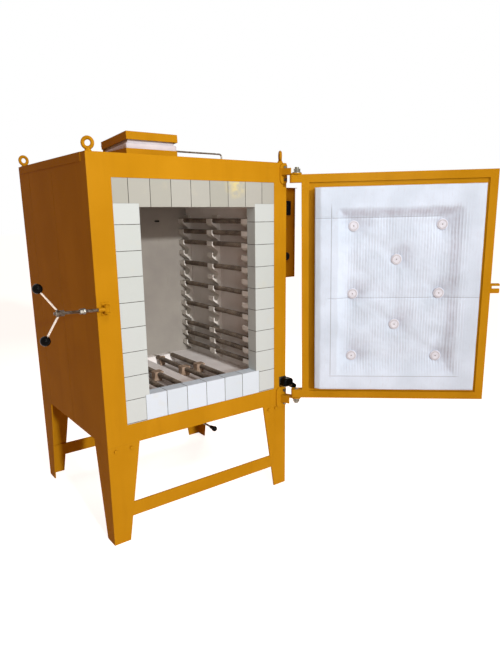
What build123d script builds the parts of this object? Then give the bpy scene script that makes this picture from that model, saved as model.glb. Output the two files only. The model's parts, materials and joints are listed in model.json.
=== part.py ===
from build123d import *
import math
import os

# Electric front-loading kiln on four legs, in millimetres.
# The pieces are drawn with x from the case's left side, y from its front face towards the
# back and z from its underside, and are moved together at the end so that the middle of
# the whole kiln's footprint is at the origin on the floor.

# Case
CASE_W = 1000.0
CASE_D = 907.0
CASE_H = 1216.0
LEG_H = 467.0
SHEET = 3.0
COVER_LIP = 2.0
COVER_FLANGE = 34.0
COVER_FLANGE_INSET = (50.0, 17.0)
PANEL_JOINTS = (410.0, 750.0)
GROOVE = 1.2

# Front frame opening and the brick facing in it
FRAME_LEFT = 98.0
FRAME_RIGHT = 77.5
FRAME_BOTTOM = 88.0
FRAME_TOP = 93.0
FRAME_RETURN = 30.0
BRICK_RECESS = 1.0
BRICK_DEPTH = 64.0
COLUMN_W = 113.5
JAMB_RIGHT_W = 116.0
SILL_H = 117.5
LINTEL_H = 113.0
SILL_NOTCH = 19.5
LINTEL_NOTCH = 14.0
JOINT_W = 1.4
JOINT_DEPTH = 2.5
COLUMN_PITCH = 106.2
COLUMN_TOP_BRICK = 83.0
TOP_JOINTS_FIRST = 69.0
TOP_PITCH = 97.4
TOP_BRICKS = 9
SILL_BRICKS = 6

# Chamber behind the facing
CHAMBER_SIDE = 53.0
CHAMBER_DEPTH = 670.0
FLOOR_DROP = 30.5
ROOF_RISE = 20.0
LINING = 50.0
HEARTH_H = 75.0
FIT = 0.3

# Heating elements on saw-tooth holders
TOOTH_PITCH = 59.0
TOP_TOOTH_DROP = 85.0
LOWEST_TOOTH_RISE = 50.0
TOOTH_REACH = 53.0
STRIP = 16.0
TOOTH_SLOPE = 0.7
STRIP_TAIL = 0.72
TOOTH_LIP = 6.0
TOOTH_LIP_RISE = 10.0
TOOTH_BED = 1.0
TOOTH_BACK = 6.0
TUBE_OFFSET = 35.0
SLEEVE_R = 13.0
TUBE_R = 9.0
HOLDER_W = 50.0
HOLDER_Y = (0.5, 317.0, 619.0)
SLEEVE_SETBACK = 12.0
SOCKET = 20.0

# Hearth troughs and the tubes that lie in them, from the case's left side
TROUGHS = ((276.0, 467.0), (530.0, 722.0))
TROUGH_DEPTH = 45.0
TROUGH_ENDS = (16.0, 36.0)
FLOOR_TUBES = (354.0, 451.0, 612.0, 706.0)
FLOOR_TUBE_DROP = 5.0
SADDLE = (46.0, 40.0)
SADDLE_TOP = 13.0
SADDLE_Y = 298.0
SADDLE_COUNT = 3
SADDLE_SHORT = 16.0
SADDLE_MIDDLE = 1
SPARE_BLOCK = (564.0, 573.0, 34.0, 24.0, 34.0)

# Thermocouple in the back wall
PROBE_X = 661.0
PROBE_DROP = 87.0
PROBE_R = 5.0
PROBE_OUT = 42.0

# Legs: folded angles that taper downwards
LEG_TOP = 150.0
LEG_FOOT = 78.0
LEG_T = 6.0
STRETCHER_H = 67.0
FRONT_STRETCHER_DROP = 283.0
REAR_STRETCHER_DROP = 300.0
CLEAT_H = 42.0
CLEAT_T = 5.0
CLEAT_L = 128.0
LEG_BOLT_DROP = 20.0
LEG_BOLTS_LEFT = (35.0, 109.0)
LEG_BOLTS_RIGHT = (68.0, 113.0)
LEG_BOLT_R = 5.0
BOLT_REACH = 40.0

# Lifting eyes
EYE_INSET = 22.0
EYE_OUTER = 52.0
EYE_HOLE = 23.0
EYE_RISE = 31.5
EYE_COLLAR = (15.0, 8.5, 13.0)
EYE_TURNS = (-37.0, 57.0, 8.0, 20.0)

# Vent on the roof, with a lid hinged at its rear edge
VENT_X = 305.0
VENT_Y = 290.0
VENT_W = 260.0
VENT_D = 280.0
VENT_COLLAR_H = 55.0
VENT_FIBRE_RISE = 3.0
VENT_FIBRE_T = 52.0
VENT_SHEET = 2.0
LID_GAP = 0.5
LID_FIBRE_OUT = 12.0
LID_FIBRE_INSET = 12.0
LID_H = 35.0
LID_OVERHANG = 6.0
LID_ROD_R = 4.5
LID_ROD_BACK = 9.0
LID_ROD_RISE = 18.0
LID_EAR_T = 6.0
LID_EAR_INSET = 14.0
LID_LUG_W = 30.0
LID_LUG_WALL = 3.5
LID_LUG_T = 5.0
LID_ROD_IN = 4.0
LID_ROD_BEND = 14.0
LID_REST_ANGLE = 4.2
LEVER_OUT = 12.0
LEVER_L = 170.0
RUNNING = 0.08

# Door: a shallow tray, closed position, and the angle it stands open at
DOOR_FREE_MARGIN = 76.4
DOOR_HINGE_MARGIN = 18.6
DOOR_BOTTOM_MARGIN = 47.4
DOOR_TOP_MARGIN = 57.3
DOOR_GAP = 55.0
DOOR_D = 80.0
DOOR_SHEET = 3.0
RIM_OUTER = 38.0
RIM_INNER = 28.0
RIM_STEP = 9.0
DOOR_OPEN_ANGLE = 137.3
HINGE_BEYOND = 30.0
HINGE_BEHIND = 20.0
HINGE_LEAN_X = -0.0071
HINGE_LEAN_Y = 0.0028
HINGE_BOLT_R = 10.0
HINGE_THREAD_END = 8.0
LUG_OUT = 56.0
LUG_TOP_H = 37.0
LUG_BOTTOM_H = 42.0
LUG_D = 40.0
LUG_CORNER = 12.0
LUG_WALL = 5.0

# Door pad and its buttons, from the door's hinge side and bottom
PAD_CLEAR = 1.5
PAD_EDGE = 0.5
PAD_BULGE = 3.0
PAD_ROUND = 14.0
FIELD_MARGIN = (78.0, 87.0, 70.0, 93.0)
FIELD_SLOPE = (85.0, 50.0, 81.0, 50.0)
FIELD_DEPTH = 27.0
BUTTON_R = 26.0
BUTTON_T = 9.0
BUTTON_SINK = 8.0
DIMPLE_FLARE = 22.0
DIMPLE_H = 18.0
BUTTON_STUD_R = 4.0
BUTTON_COLUMNS = (247.0, 657.0)
BUTTON_ROWS = (234.0, 545.0, 868.0)
BUTTON_MID_X = 452.0
BUTTON_MID_ROWS = (393.0, 708.0)
SEAM_ROWS = (524.0,)
SEAM_W = 5.0
SEAM_DEPTH = 3.0

# Hinge arms that hold the door's bolts
ARM_PLATE_T = 6.0
ARM_LEG_T = 6.0
ARM_WEB_T = 5.0
ARM_TOP_WEB_H = 24.0
ARM_BOTTOM_WEB_H = 33.0
ARM_TOP_WEB_SHARE = 0.8
ARM_BOTTOM_WEB_SHARE = 0.7
ARM_GAP = 1.0
ARM_ROOT = 40.0
ARM_END_R = 24.0
ARM_TOP_PLATE_W = 43.0
ARM_TOP_PLATE_DROPS = (98.0, 2.0)
ARM_BOTTOM_PLATE_W = 65.0
ARM_BOTTOM_PLATE_RISES = (-20.0, 90.0)
ARM_INNER_CORNER = 22.0
ARM_OUTER_CORNER = 14.0
ARM_BOLT_INSET = 15.0
ARM_BOLT_ENDS = 20.0
ARM_BOLT_R = 5.0
NUT_R = 17.5
NUT_H = 16.0
WASHER_R = 22.0
WASHER_T = 3.0

# Swing clamp on the left of the frame, closed position along -y
CLAMP_X = 35.0
CLAMP_OUT = 18.0
CLAMP_Z = 608.5
CLAMP_PIN_R = 4.0
CLAMP_EAR_T = 5.0
CLAMP_EAR_GAP = 24.0
CLAMP_EAR_W = 26.0
CLAMP_BASE_H = 54.0
CLAMP_BASE_T = 4.0
TRUNNION_R = 11.0
TRUNNION_BOSS_R = 9.0
TRUNNION_BOSS_L = 34.0
SPINDLE_R = 6.0
SPINDLE_START = 16.0
COLLAR_START = 85.0
COLLAR_L = 21.0
COLLAR_R = 12.5
SHOULDER_R = 8.0
SHOULDER_L = 4.0
HUB_START = 165.0
HUB_L = 32.0
HUB_R = 12.0
HUB_MIDDLE = 183.0
HANDLE_L = 124.0
HANDLE_R = 4.0
HANDLE_ANGLE = 57.0
HANDLE_TURN = 23.0
BALL_R = 20.0
CLAMP_REST_SWING = 99.0

# Fork on the door's free edge
FORK_OUT = 53.0
FORK_T = 12.0
FORK_Y = -88.0
FORK_SLOT = 13.4
FORK_UPPER = 12.0
FORK_LOWER = 22.0
FORK_ROOT = 16.0

# Control box on the right side
BOX_W = 146.0
BOX_Y = 100.0
BOX_D = 380.0
BOX_Z = 650.0
BOX_H = 457.0
BOX_SHEET = 2.0
BOX_RECESS = 9.0
BOX_HOOD = 14.0
INSTRUMENT_X = 82.0
CONTROLLER_SIDE = 72.0
CONTROLLER_Z = 970.0
CONTROLLER_BEZEL = 7.0
CONTROLLER_BODY = 66.0
CONTROLLER_DEPTH = 70.0
KEY_W = 12.0
KEY_H = 7.0
KEY_GAP = 4.0
KEY_RISE = 15.0
KEY_OUT = 1.6
KEY_CLEAR = 0.3
ROCKER_Z = 900.0
ROCKER_W = 19.0
ROCKER_H = 13.0
ROCKER_BEZEL = 2.5
ROCKER_OUT = 1.5
ROCKER_DEPTH = 8.0
ROCKER_PIVOT_BACK = 3.0
ROCKER_PIVOT_R = 1.2
ROCKER_TILT = 8.0
ROCKER_TRIM = 1.7
LAMP_Z = 872.0
LAMP_R = 5.0
KNOB_Z = 761.0
KNOB_R = 20.0
KNOB_H = 20.0
KNOB_SHAFT_R = 3.0
GLAND_R = 12.0
GLAND_Y = 330.0

# Door switch on the frame's right border, with a sensing head that the lower lug passes
SWITCH_INSET = 40.0
SWITCH_W = 60.0
SWITCH_Z = 104.0
SWITCH_H = 36.0
SWITCH_OUT = 44.0
SWITCH_DOME = 16.0
SWITCH_EDGE = 9.0
SWITCH_PLATE_T = 4.0
SWITCH_FOOT_BELOW = 8.0
SWITCH_FOOT_ABOVE = 6.0
SENSOR_BEYOND = 17.6
SENSOR_Z = 92.0
SENSOR_R = 9.0
SENSOR_WALL = 4.0
SENSOR_GAP = 1.0
SENSOR_OUT = 5.0
SENSOR_L = 24.0
SENSOR_BACK = 8.0

# Air inlet under the case, closed by a sliding plate on a long rod
DUCT_X = 520.0
DUCT_Y = 400.0
DUCT_W = 120.0
DUCT_H = 62.0
DUCT_SHEET = 3.0
DAMPER_DROP = 22.0
DAMPER_T = 3.0
DAMPER_TRAVEL = 100.0
DAMPER_ROD_R = 5.0
DAMPER_KNOB_R = 13.0
DAMPER_KNOB_OUT = 40.0
DAMPER_EAR = (24.0, 3.0, 18.0)
DAMPER_PLATE_OUT = 2.0
RAIL_T = 3.0
RAIL_W = 14.0

# Terminal cover on the back
TERMINAL_W = 760.0
TERMINAL_H = 860.0
TERMINAL_Z = 150.0
TERMINAL_D = 55.0
SLOT_COUNT = 12
SLOT_W = 40.0
SLOT_H = 6.0
SLOT_MARGIN_X = 30.0
SLOT_MARGIN_Z = 40.0

# Places that follow from the sizes above
OPEN_X0 = FRAME_LEFT
OPEN_X1 = CASE_W - FRAME_RIGHT
OPEN_Z0 = FRAME_BOTTOM
OPEN_Z1 = CASE_H - FRAME_TOP
MOUTH_X0 = OPEN_X0 + COLUMN_W
MOUTH_X1 = OPEN_X1 - JAMB_RIGHT_W
MOUTH_Z0 = OPEN_Z0 + SILL_H
MOUTH_Z1 = OPEN_Z1 - LINTEL_H
BRICK_Y0 = BRICK_RECESS
BRICK_Y1 = BRICK_RECESS + BRICK_DEPTH
ROOM_X0 = MOUTH_X0 - CHAMBER_SIDE
ROOM_X1 = MOUTH_X1 + CHAMBER_SIDE
ROOM_Y0 = BRICK_Y1
ROOM_Y1 = BRICK_Y1 + CHAMBER_DEPTH
ROOM_Z0 = MOUTH_Z0 - FLOOR_DROP
ROOM_Z1 = MOUTH_Z1 + ROOF_RISE
TOOTH_COUNT = 1 + int((ROOM_Z1 - TOP_TOOTH_DROP - ROOM_Z0 - LOWEST_TOOTH_RISE) / TOOTH_PITCH)
DOOR_X0 = DOOR_FREE_MARGIN
DOOR_X1 = CASE_W - DOOR_HINGE_MARGIN
DOOR_Z0 = DOOR_BOTTOM_MARGIN
DOOR_Z1 = CASE_H - DOOR_TOP_MARGIN
DOOR_Y1 = -DOOR_GAP
DOOR_Y0 = -DOOR_GAP - DOOR_D
BOX_X1 = CASE_W + BOX_W
BOX_MID = CASE_W + INSTRUMENT_X
PANEL_Y = BOX_Y + BOX_RECESS
TOP_Z = CASE_H
HINGE_X = DOOR_X1 + HINGE_BEYOND
HINGE_Y = DOOR_Y1 - HINGE_BEHIND
ARM_TOP_PLATE = (CASE_W - ARM_TOP_PLATE_W, CASE_W, CASE_H - ARM_TOP_PLATE_DROPS[0],
                 CASE_H - ARM_TOP_PLATE_DROPS[1])
ARM_BOTTOM_PLATE = (CASE_W - ARM_BOTTOM_PLATE_W, CASE_W, ARM_BOTTOM_PLATE_RISES[0],
                    ARM_BOTTOM_PLATE_RISES[1])
SWITCH_X0 = CASE_W - SWITCH_INSET
SWITCH_X1 = SWITCH_X0 + SWITCH_W
SENSOR_X = HINGE_X + SENSOR_BEYOND


def block(x0, x1, y0, y1, z0, z1):
    return Pos(x0, y0, z0) * Box(x1 - x0, y1 - y0, z1 - z0, align=(Align.MIN, Align.MIN, Align.MIN))


def round_bar(start, end, radius):
    run = Vector(*end) - Vector(*start)
    return Solid.make_cylinder(radius, run.length, Plane(origin=Vector(*start), z_dir=run))


def slab_y(points, y0, y1):
    face = Face(Wire.make_polygon([Vector(x, y0, z) for x, z in points]))
    return Solid.extrude(face, Vector(0, y1 - y0, 0))


def slab_z(points, z0, z1):
    face = Face(Wire.make_polygon([Vector(x, y, z0) for x, y in points]))
    return Solid.extrude(face, Vector(0, 0, z1 - z0))


def hex_nut(centre, axis, radius, height):
    prism = extrude(RegularPolygon(radius, 6), height)
    return Plane(origin=Vector(*centre), z_dir=Vector(*axis)) * prism


def hinge_point(z):
    rise = z - DOOR_Z0
    x = HINGE_X + HINGE_LEAN_X * rise
    y = HINGE_Y + HINGE_LEAN_Y * rise
    return Vector(x, y, z)


def tooth_z(index):
    return ROOM_Z1 - TOP_TOOTH_DROP - index * TOOTH_PITCH


def tube_teeth():
    return [i for i in range(TOOTH_COUNT) if i % 2 == 0 or i in (1, TOOTH_COUNT - 2)]


def leg_edge(drop):
    return LEG_TOP - (LEG_TOP - LEG_FOOT) * drop / LEG_H


# Sheet-metal case
def front_frame():
    face = block(0, CASE_W, 0, SHEET, 0, CASE_H)
    ring = block(OPEN_X0 - SHEET, OPEN_X1 + SHEET, 0, FRAME_RETURN, OPEN_Z0 - SHEET, OPEN_Z1 + SHEET)
    return face + ring - block(OPEN_X0, OPEN_X1, -1, FRAME_RETURN + 1, OPEN_Z0, OPEN_Z1)


def side_panel(x0, face):
    panel = block(x0, x0 + SHEET, SHEET, CASE_D - SHEET, 0, CASE_H - SHEET)
    for y in PANEL_JOINTS:
        panel -= block(face - GROOVE / 2, face + GROOVE / 2, y - GROOVE, y + GROOVE, -1, CASE_H)
    return panel


def left_panel():
    return side_panel(0, 0)


def right_panel():
    return side_panel(CASE_W - SHEET, CASE_W)


def back_panel():
    return block(0, CASE_W, CASE_D - SHEET, CASE_D, 0, CASE_H)


def vent_hole(z0, z1, margin=0.0):
    inset = VENT_FIBRE_T - margin
    return block(VENT_X + inset, VENT_X + VENT_W - inset, VENT_Y + inset, VENT_Y + VENT_D - inset, z0, z1)


def top_cover():
    cover = block(0, CASE_W, SHEET, CASE_D - SHEET, CASE_H - SHEET, CASE_H)
    y0 = COVER_FLANGE_INSET[0]
    y1 = CASE_D - COVER_FLANGE_INSET[1]
    z0 = CASE_H - COVER_FLANGE
    cover += block(-COVER_LIP, 0, y0, y1, z0, CASE_H)
    cover += block(CASE_W, CASE_W + COVER_LIP, y0, y1, z0, CASE_H)
    return cover - vent_hole(CASE_H - SHEET - 1, CASE_H + 1)


def corner_cleat(x, y, sx, sy):
    reach = LEG_T + FIT
    long_x = sorted((x + sx * reach, x + sx * CLEAT_L))
    long_y = sorted((y + sy * reach, y + sy * CLEAT_L))
    thin_x = sorted((x + sx * reach, x + sx * (reach + CLEAT_T)))
    thin_y = sorted((y + sy * reach, y + sy * (reach + CLEAT_T)))
    along_x = block(long_x[0], long_x[1], thin_y[0], thin_y[1], -CLEAT_H, SHEET)
    along_y = block(thin_x[0], thin_x[1], long_y[0], long_y[1], -CLEAT_H, SHEET)
    return along_x + along_y


def corners():
    return [(0, 0, 1, 1), (CASE_W, 0, -1, 1), (0, CASE_D, 1, -1), (CASE_W, CASE_D, -1, -1)]


def bottom_tray():
    tray = block(SHEET, CASE_W - SHEET, SHEET, CASE_D - SHEET, 0, SHEET)
    for x, y, sx, sy in corners():
        tray += corner_cleat(x, y, sx, sy)
    for x, y, direction in leg_bolt_places():
        tray -= leg_bolt_hole(x, y)
    half = DUCT_W / 2 - DUCT_SHEET
    return tray - block(DUCT_X - half, DUCT_X + half, DUCT_Y - half, DUCT_Y + half, -1, SHEET + 1)


# Legs and stretchers
def leg(x, y, sx, sy):
    along_x = [(x, 0), (x + sx * LEG_TOP, 0), (x + sx * LEG_FOOT, -LEG_H), (x, -LEG_H)]
    flange_x = slab_y(along_x, min(y, y + sy * LEG_T), max(y, y + sy * LEG_T))
    along_y = [Vector(x, y, 0), Vector(x, y + sy * LEG_TOP, 0), Vector(x, y + sy * LEG_FOOT, -LEG_H),
               Vector(x, y, -LEG_H)]
    flange_y = Solid.extrude(Face(Wire.make_polygon(along_y)), Vector(sx * LEG_T, 0, 0))
    angle = flange_x + flange_y
    for bolt_x, bolt_y, direction in leg_bolt_places():
        angle -= leg_bolt_hole(bolt_x, bolt_y)
    return angle


def front_stretcher():
    low = FRONT_STRETCHER_DROP + STRETCHER_H
    points = [(leg_edge(FRONT_STRETCHER_DROP), -FRONT_STRETCHER_DROP),
              (CASE_W - leg_edge(FRONT_STRETCHER_DROP), -FRONT_STRETCHER_DROP),
              (CASE_W - leg_edge(low), -low),
              (leg_edge(low), -low)]
    return slab_y(points, 0, LEG_T)


def rear_stretcher():
    y1 = CASE_D - LEG_T
    side = LEG_T + FIT
    low = REAR_STRETCHER_DROP + STRETCHER_H
    return block(side, CASE_W - side, y1 - LEG_T, y1, -low, -REAR_STRETCHER_DROP)


def leg_bolt_places():
    places = []
    for y, direction in ((0.0, 1), (CASE_D, -1)):
        places += [(x, y, direction) for x in LEG_BOLTS_LEFT]
        places += [(CASE_W - x, y, direction) for x in LEG_BOLTS_RIGHT]
    return places


def leg_bolt_hole(x, y):
    return round_bar((x, y - BOLT_REACH, -LEG_BOLT_DROP), (x, y + BOLT_REACH, -LEG_BOLT_DROP), LEG_BOLT_R)


def leg_bolts():
    bolts = []
    for x, y, direction in leg_bolt_places():
        inner = y + direction * (LEG_T + FIT + CLEAT_T)
        shank = round_bar((x, y - direction * 1, -LEG_BOLT_DROP),
                          (x, inner + direction * (NUT_H + 1), -LEG_BOLT_DROP), LEG_BOLT_R - RUNNING)
        head = hex_nut((x, y, -LEG_BOLT_DROP), (0, -direction, 0), LEG_BOLT_R * 1.8, LEG_BOLT_R * 1.2)
        nut = hex_nut((x, inner, -LEG_BOLT_DROP), (0, direction, 0), LEG_BOLT_R * 1.8, LEG_BOLT_R * 1.6)
        bolts.append(shank + head + nut)
    return Compound(bolts)


# Brick facing
def joint_y(x0, x1, z):
    half = JOINT_W / 2
    return block(x0, x1, BRICK_Y0 - 1, BRICK_Y0 + JOINT_DEPTH, z - half, z + half)


def column(outer, inner, notch):
    points = [(outer, OPEN_Z0), (notch, OPEN_Z0), (notch, MOUTH_Z0), (inner, MOUTH_Z0),
              (inner, MOUTH_Z1 + LINTEL_NOTCH), (outer, MOUTH_Z1 + LINTEL_NOTCH)]
    body = slab_y(points, BRICK_Y0, BRICK_Y1)
    half = JOINT_W / 2
    side = 1 if inner > outer else -1
    z = MOUTH_Z1 + LINTEL_NOTCH - COLUMN_TOP_BRICK
    while z > OPEN_Z0 + COLUMN_PITCH / 2:
        body -= joint_y(min(outer, inner) - 1, max(outer, inner) + 1, z)
        if z > MOUTH_Z0 + 10:
            reveal = sorted((inner + side, inner - side * JOINT_DEPTH))
            body -= block(reveal[0], reveal[1], BRICK_Y0, BRICK_Y1 + 1, z - half, z + half)
        z -= COLUMN_PITCH
    return body


def facing_left():
    return column(OPEN_X0 + FIT, MOUTH_X0, MOUTH_X0 - SILL_NOTCH)


def facing_right():
    return column(OPEN_X1 - FIT, MOUTH_X1, MOUTH_X1 + SILL_NOTCH)


def upright_joints(body, places, z0, z1, reveal_z, reveal_sign):
    half = JOINT_W / 2
    for x in places:
        body -= block(x - half, x + half, BRICK_Y0 - 1, BRICK_Y0 + JOINT_DEPTH, z0 - 1, z1 + 1)
        if MOUTH_X0 + 10 < x < MOUTH_X1 - 10:
            low, high = sorted((reveal_z - reveal_sign, reveal_z + reveal_sign * JOINT_DEPTH))
            body -= block(x - half, x + half, BRICK_Y0, BRICK_Y1 + 1, low, high)
    return body


def facing_lintel():
    x0 = OPEN_X0 + FIT
    x1 = OPEN_X1 - FIT
    step = MOUTH_Z1 + LINTEL_NOTCH + FIT
    points = [(x0, step), (MOUTH_X0 + FIT, step), (MOUTH_X0 + FIT, MOUTH_Z1), (MOUTH_X1 - FIT, MOUTH_Z1),
              (MOUTH_X1 - FIT, step), (x1, step), (x1, OPEN_Z1 - FIT), (x0, OPEN_Z1 - FIT)]
    body = slab_y(points, BRICK_Y0, BRICK_Y1)
    places = [OPEN_X0 + TOP_JOINTS_FIRST + i * TOP_PITCH for i in range(TOP_BRICKS - 1)]
    return upright_joints(body, places, MOUTH_Z1, OPEN_Z1, MOUTH_Z1, 1)


def facing_sill():
    x0 = MOUTH_X0 - SILL_NOTCH + FIT
    x1 = MOUTH_X1 + SILL_NOTCH - FIT
    body = block(x0, x1, BRICK_Y0, BRICK_Y1, OPEN_Z0 + FIT, MOUTH_Z0 - FIT)
    pitch = (x1 - x0) / SILL_BRICKS
    places = [x0 + i * pitch for i in range(1, SILL_BRICKS)]
    return upright_joints(body, places, OPEN_Z0, MOUTH_Z0, MOUTH_Z0, -1)


# Chamber lining
def lining_sides():
    left = block(ROOM_X0 - LINING, ROOM_X0, ROOM_Y0 + FIT, ROOM_Y1, ROOM_Z0, ROOM_Z1)
    right = block(ROOM_X1, ROOM_X1 + LINING, ROOM_Y0 + FIT, ROOM_Y1, ROOM_Z0, ROOM_Z1)
    return [left, right]


def element_bores(body, y0, y1, radius):
    for x in (ROOM_X0 + TUBE_OFFSET, ROOM_X1 - TUBE_OFFSET):
        for index in tube_teeth():
            body -= round_bar((x, y0, tooth_z(index)), (x, y1, tooth_z(index)), radius)
    return body


def lining_back():
    wall = block(ROOM_X0 - LINING, ROOM_X1 + LINING, ROOM_Y1, ROOM_Y1 + LINING,
                 ROOM_Z0 - HEARTH_H, ROOM_Z1 + LINING)
    wall = element_bores(wall, ROOM_Y1 - 1, ROOM_Y1 + SOCKET, TUBE_R + FIT)
    for x in FLOOR_TUBES:
        z = ROOM_Z0 - FLOOR_TUBE_DROP
        wall -= round_bar((x, ROOM_Y1 - 1, z), (x, ROOM_Y1 + SOCKET, z), TUBE_R + FIT)
    z = ROOM_Z1 - PROBE_DROP
    return wall - round_bar((PROBE_X, ROOM_Y1 - 1, z), (PROBE_X, ROOM_Y1 + LINING + 1, z), PROBE_R + FIT)


def lining_roof():
    roof = block(ROOM_X0 - LINING, ROOM_X1 + LINING, ROOM_Y0 + FIT, ROOM_Y1, ROOM_Z1, ROOM_Z1 + LINING)
    return roof - vent_hole(ROOM_Z1 - 1, ROOM_Z1 + LINING + 1)


def hearth():
    body = block(ROOM_X0 - LINING, ROOM_X1 + LINING, ROOM_Y0 + FIT, ROOM_Y1, ROOM_Z0 - HEARTH_H, ROOM_Z0)
    for x0, x1 in TROUGHS:
        body -= block(x0, x1, ROOM_Y0 + TROUGH_ENDS[0], ROOM_Y1 - TROUGH_ENDS[1],
                      ROOM_Z0 - TROUGH_DEPTH, ROOM_Z0 + 1)
    for x in FLOOR_TUBES:
        z = ROOM_Z0 - FLOOR_TUBE_DROP
        body -= round_bar((x, ROOM_Y0 - 1, z), (x, ROOM_Y1 + 1, z), TUBE_R + FIT)
    return body


def backup_insulation():
    gap = SHEET + FIT
    body = block(gap, CASE_W - gap, gap, CASE_D - gap, gap, CASE_H - gap)
    body -= block(OPEN_X0 - gap, OPEN_X1 + gap, 0, FRAME_RETURN + FIT, OPEN_Z0 - gap, OPEN_Z1 + gap)
    body -= block(OPEN_X0, OPEN_X1, 0, BRICK_Y1, OPEN_Z0, OPEN_Z1)
    body -= block(ROOM_X0 - LINING - FIT, ROOM_X1 + LINING + FIT, ROOM_Y0 - 1, ROOM_Y1 + LINING + FIT,
                  ROOM_Z0 - HEARTH_H - FIT, ROOM_Z1 + LINING + FIT)
    return body - vent_hole(ROOM_Z1, CASE_H)


# Saw-tooth holders and the element tubes that lie in them
def holder_profile(wall, inward):
    top = tooth_z(0) + TOOTH_PITCH / 2
    bottom = tooth_z(TOOTH_COUNT - 1) - TOOTH_PITCH * STRIP_TAIL
    strip_x = wall + inward * STRIP
    tip_x = wall + inward * TOOTH_REACH
    points = [(wall + inward * FIT, bottom), (strip_x, bottom)]
    for index in reversed(range(TOOTH_COUNT)):
        z = tooth_z(index)
        lip_x = tip_x - inward * TOOTH_LIP
        points += [(strip_x, z - TOOTH_PITCH * TOOTH_SLOPE), (tip_x, z - SLEEVE_R),
                   (tip_x, z + TOOTH_LIP_RISE), (lip_x, z + TOOTH_LIP_RISE), (lip_x, z - TOOTH_BED),
                   (wall + inward * (TUBE_OFFSET - SLEEVE_R), z - TOOTH_BED),
                   (strip_x, z + TOOTH_BACK)]
    return points + [(strip_x, top), (wall + inward * FIT, top)]


def holders(wall, inward):
    columns = []
    for start in HOLDER_Y:
        y0 = ROOM_Y0 + start
        column_body = slab_y(holder_profile(wall, inward), y0, y0 + HOLDER_W)
        for index in range(TOOTH_COUNT):
            z = tooth_z(index)
            x = wall + inward * TUBE_OFFSET
            column_body -= round_bar((x, y0 - 1, z), (x, y0 + HOLDER_W + 1, z), SLEEVE_R + FIT)
        columns.append(column_body)
    return Compound(columns)


def element_tube(x, z):
    sleeve = round_bar((x, ROOM_Y0 + SLEEVE_SETBACK, z), (x, ROOM_Y1 - SLEEVE_SETBACK, z), SLEEVE_R)
    return sleeve + round_bar((x, ROOM_Y0 + FIT * 2, z), (x, ROOM_Y1 + SOCKET - FIT, z), TUBE_R)


def side_elements():
    tubes = []
    for x in (ROOM_X0 + TUBE_OFFSET, ROOM_X1 - TUBE_OFFSET):
        tubes += [element_tube(x, tooth_z(index)) for index in tube_teeth()]
    return tubes


def floor_elements():
    tubes = []
    for x in FLOOR_TUBES:
        z = ROOM_Z0 - FLOOR_TUBE_DROP
        core = round_bar((x, ROOM_Y0 + FIT * 2, z), (x, ROOM_Y1 + SOCKET - FIT, z), TUBE_R)
        sleeve = round_bar((x, ROOM_Y0 + TROUGH_ENDS[0] + 2, z), (x, ROOM_Y1 - TROUGH_ENDS[1] - 2, z),
                           SLEEVE_R)
        tubes.append(core + sleeve)
    return tubes


def element_saddles():
    blocks = []
    bed = ROOM_Z0 - TROUGH_DEPTH
    y = ROOM_Y0 + SADDLE_Y
    width, depth = SADDLE
    for index, x in enumerate(FLOOR_TUBES[:SADDLE_COUNT]):
        right = SADDLE_SHORT if index == SADDLE_MIDDLE else width / 2
        body = block(x - width / 2, x + right, y, y + depth, bed, ROOM_Z0 + SADDLE_TOP)
        body -= round_bar((x, y - 1, ROOM_Z0 - FLOOR_TUBE_DROP),
                          (x, y + depth + 1, ROOM_Z0 - FLOOR_TUBE_DROP), SLEEVE_R + FIT)
        blocks.append(body)
    x, spare_y, width, depth, height = SPARE_BLOCK
    y = ROOM_Y0 + spare_y
    blocks.append(block(x - width / 2, x + width / 2, y, y + depth, bed, bed + height))
    return Compound(blocks)


def thermocouple():
    z = ROOM_Z1 - PROBE_DROP
    sheath = round_bar((PROBE_X, ROOM_Y1 - PROBE_OUT, z), (PROBE_X, ROOM_Y1 + LINING, z), PROBE_R)
    return fillet(sheath.edges().group_by(Axis.Y)[0], PROBE_R * 0.6)


# Pieces on the outside of the case
def lifting_eyes():
    eyes = []
    thick = (EYE_OUTER - EYE_HOLE) / 4
    middle = (EYE_OUTER + EYE_HOLE) / 4
    places = [(EYE_INSET, EYE_INSET), (CASE_W - EYE_INSET, EYE_INSET),
              (EYE_INSET, CASE_D - EYE_INSET), (CASE_W - EYE_INSET, CASE_D - EYE_INSET)]
    base_r, neck_r, height = EYE_COLLAR
    for (x, y), turn in zip(places, EYE_TURNS):
        ring = Plane(origin=(0, 0, EYE_RISE), z_dir=(0, 1, 0)) * Torus(middle, thick)
        collar = Cone(base_r, neck_r, height, align=(Align.CENTER, Align.CENTER, Align.MIN))
        eyes.append(Pos(x, y, CASE_H) * Rot(0, 0, turn) * (ring + collar))
    return Compound(eyes)


def vent_collar():
    body = block(VENT_X, VENT_X + VENT_W, VENT_Y, VENT_Y + VENT_D, TOP_Z, TOP_Z + VENT_COLLAR_H)
    body -= block(VENT_X + VENT_SHEET, VENT_X + VENT_W - VENT_SHEET, VENT_Y + VENT_SHEET,
                  VENT_Y + VENT_D - VENT_SHEET, TOP_Z - 1, TOP_Z + VENT_COLLAR_H + 1)
    axis = lid_axis_point()
    for x in (VENT_X + LID_EAR_INSET, VENT_X + VENT_W - LID_EAR_INSET - LID_EAR_T):
        low = VENT_Y + VENT_D
        ear = block(x, x + LID_EAR_T, low, low + 2 * LID_ROD_BACK, TOP_Z, axis.Z)
        ear += round_bar((x, axis.Y, axis.Z), (x + LID_EAR_T, axis.Y, axis.Z), LID_ROD_BACK)
        ear -= round_bar((x - 1, axis.Y, axis.Z), (x + LID_EAR_T + 1, axis.Y, axis.Z),
                         LID_ROD_R + RUNNING)
        body += ear
    return body


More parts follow.
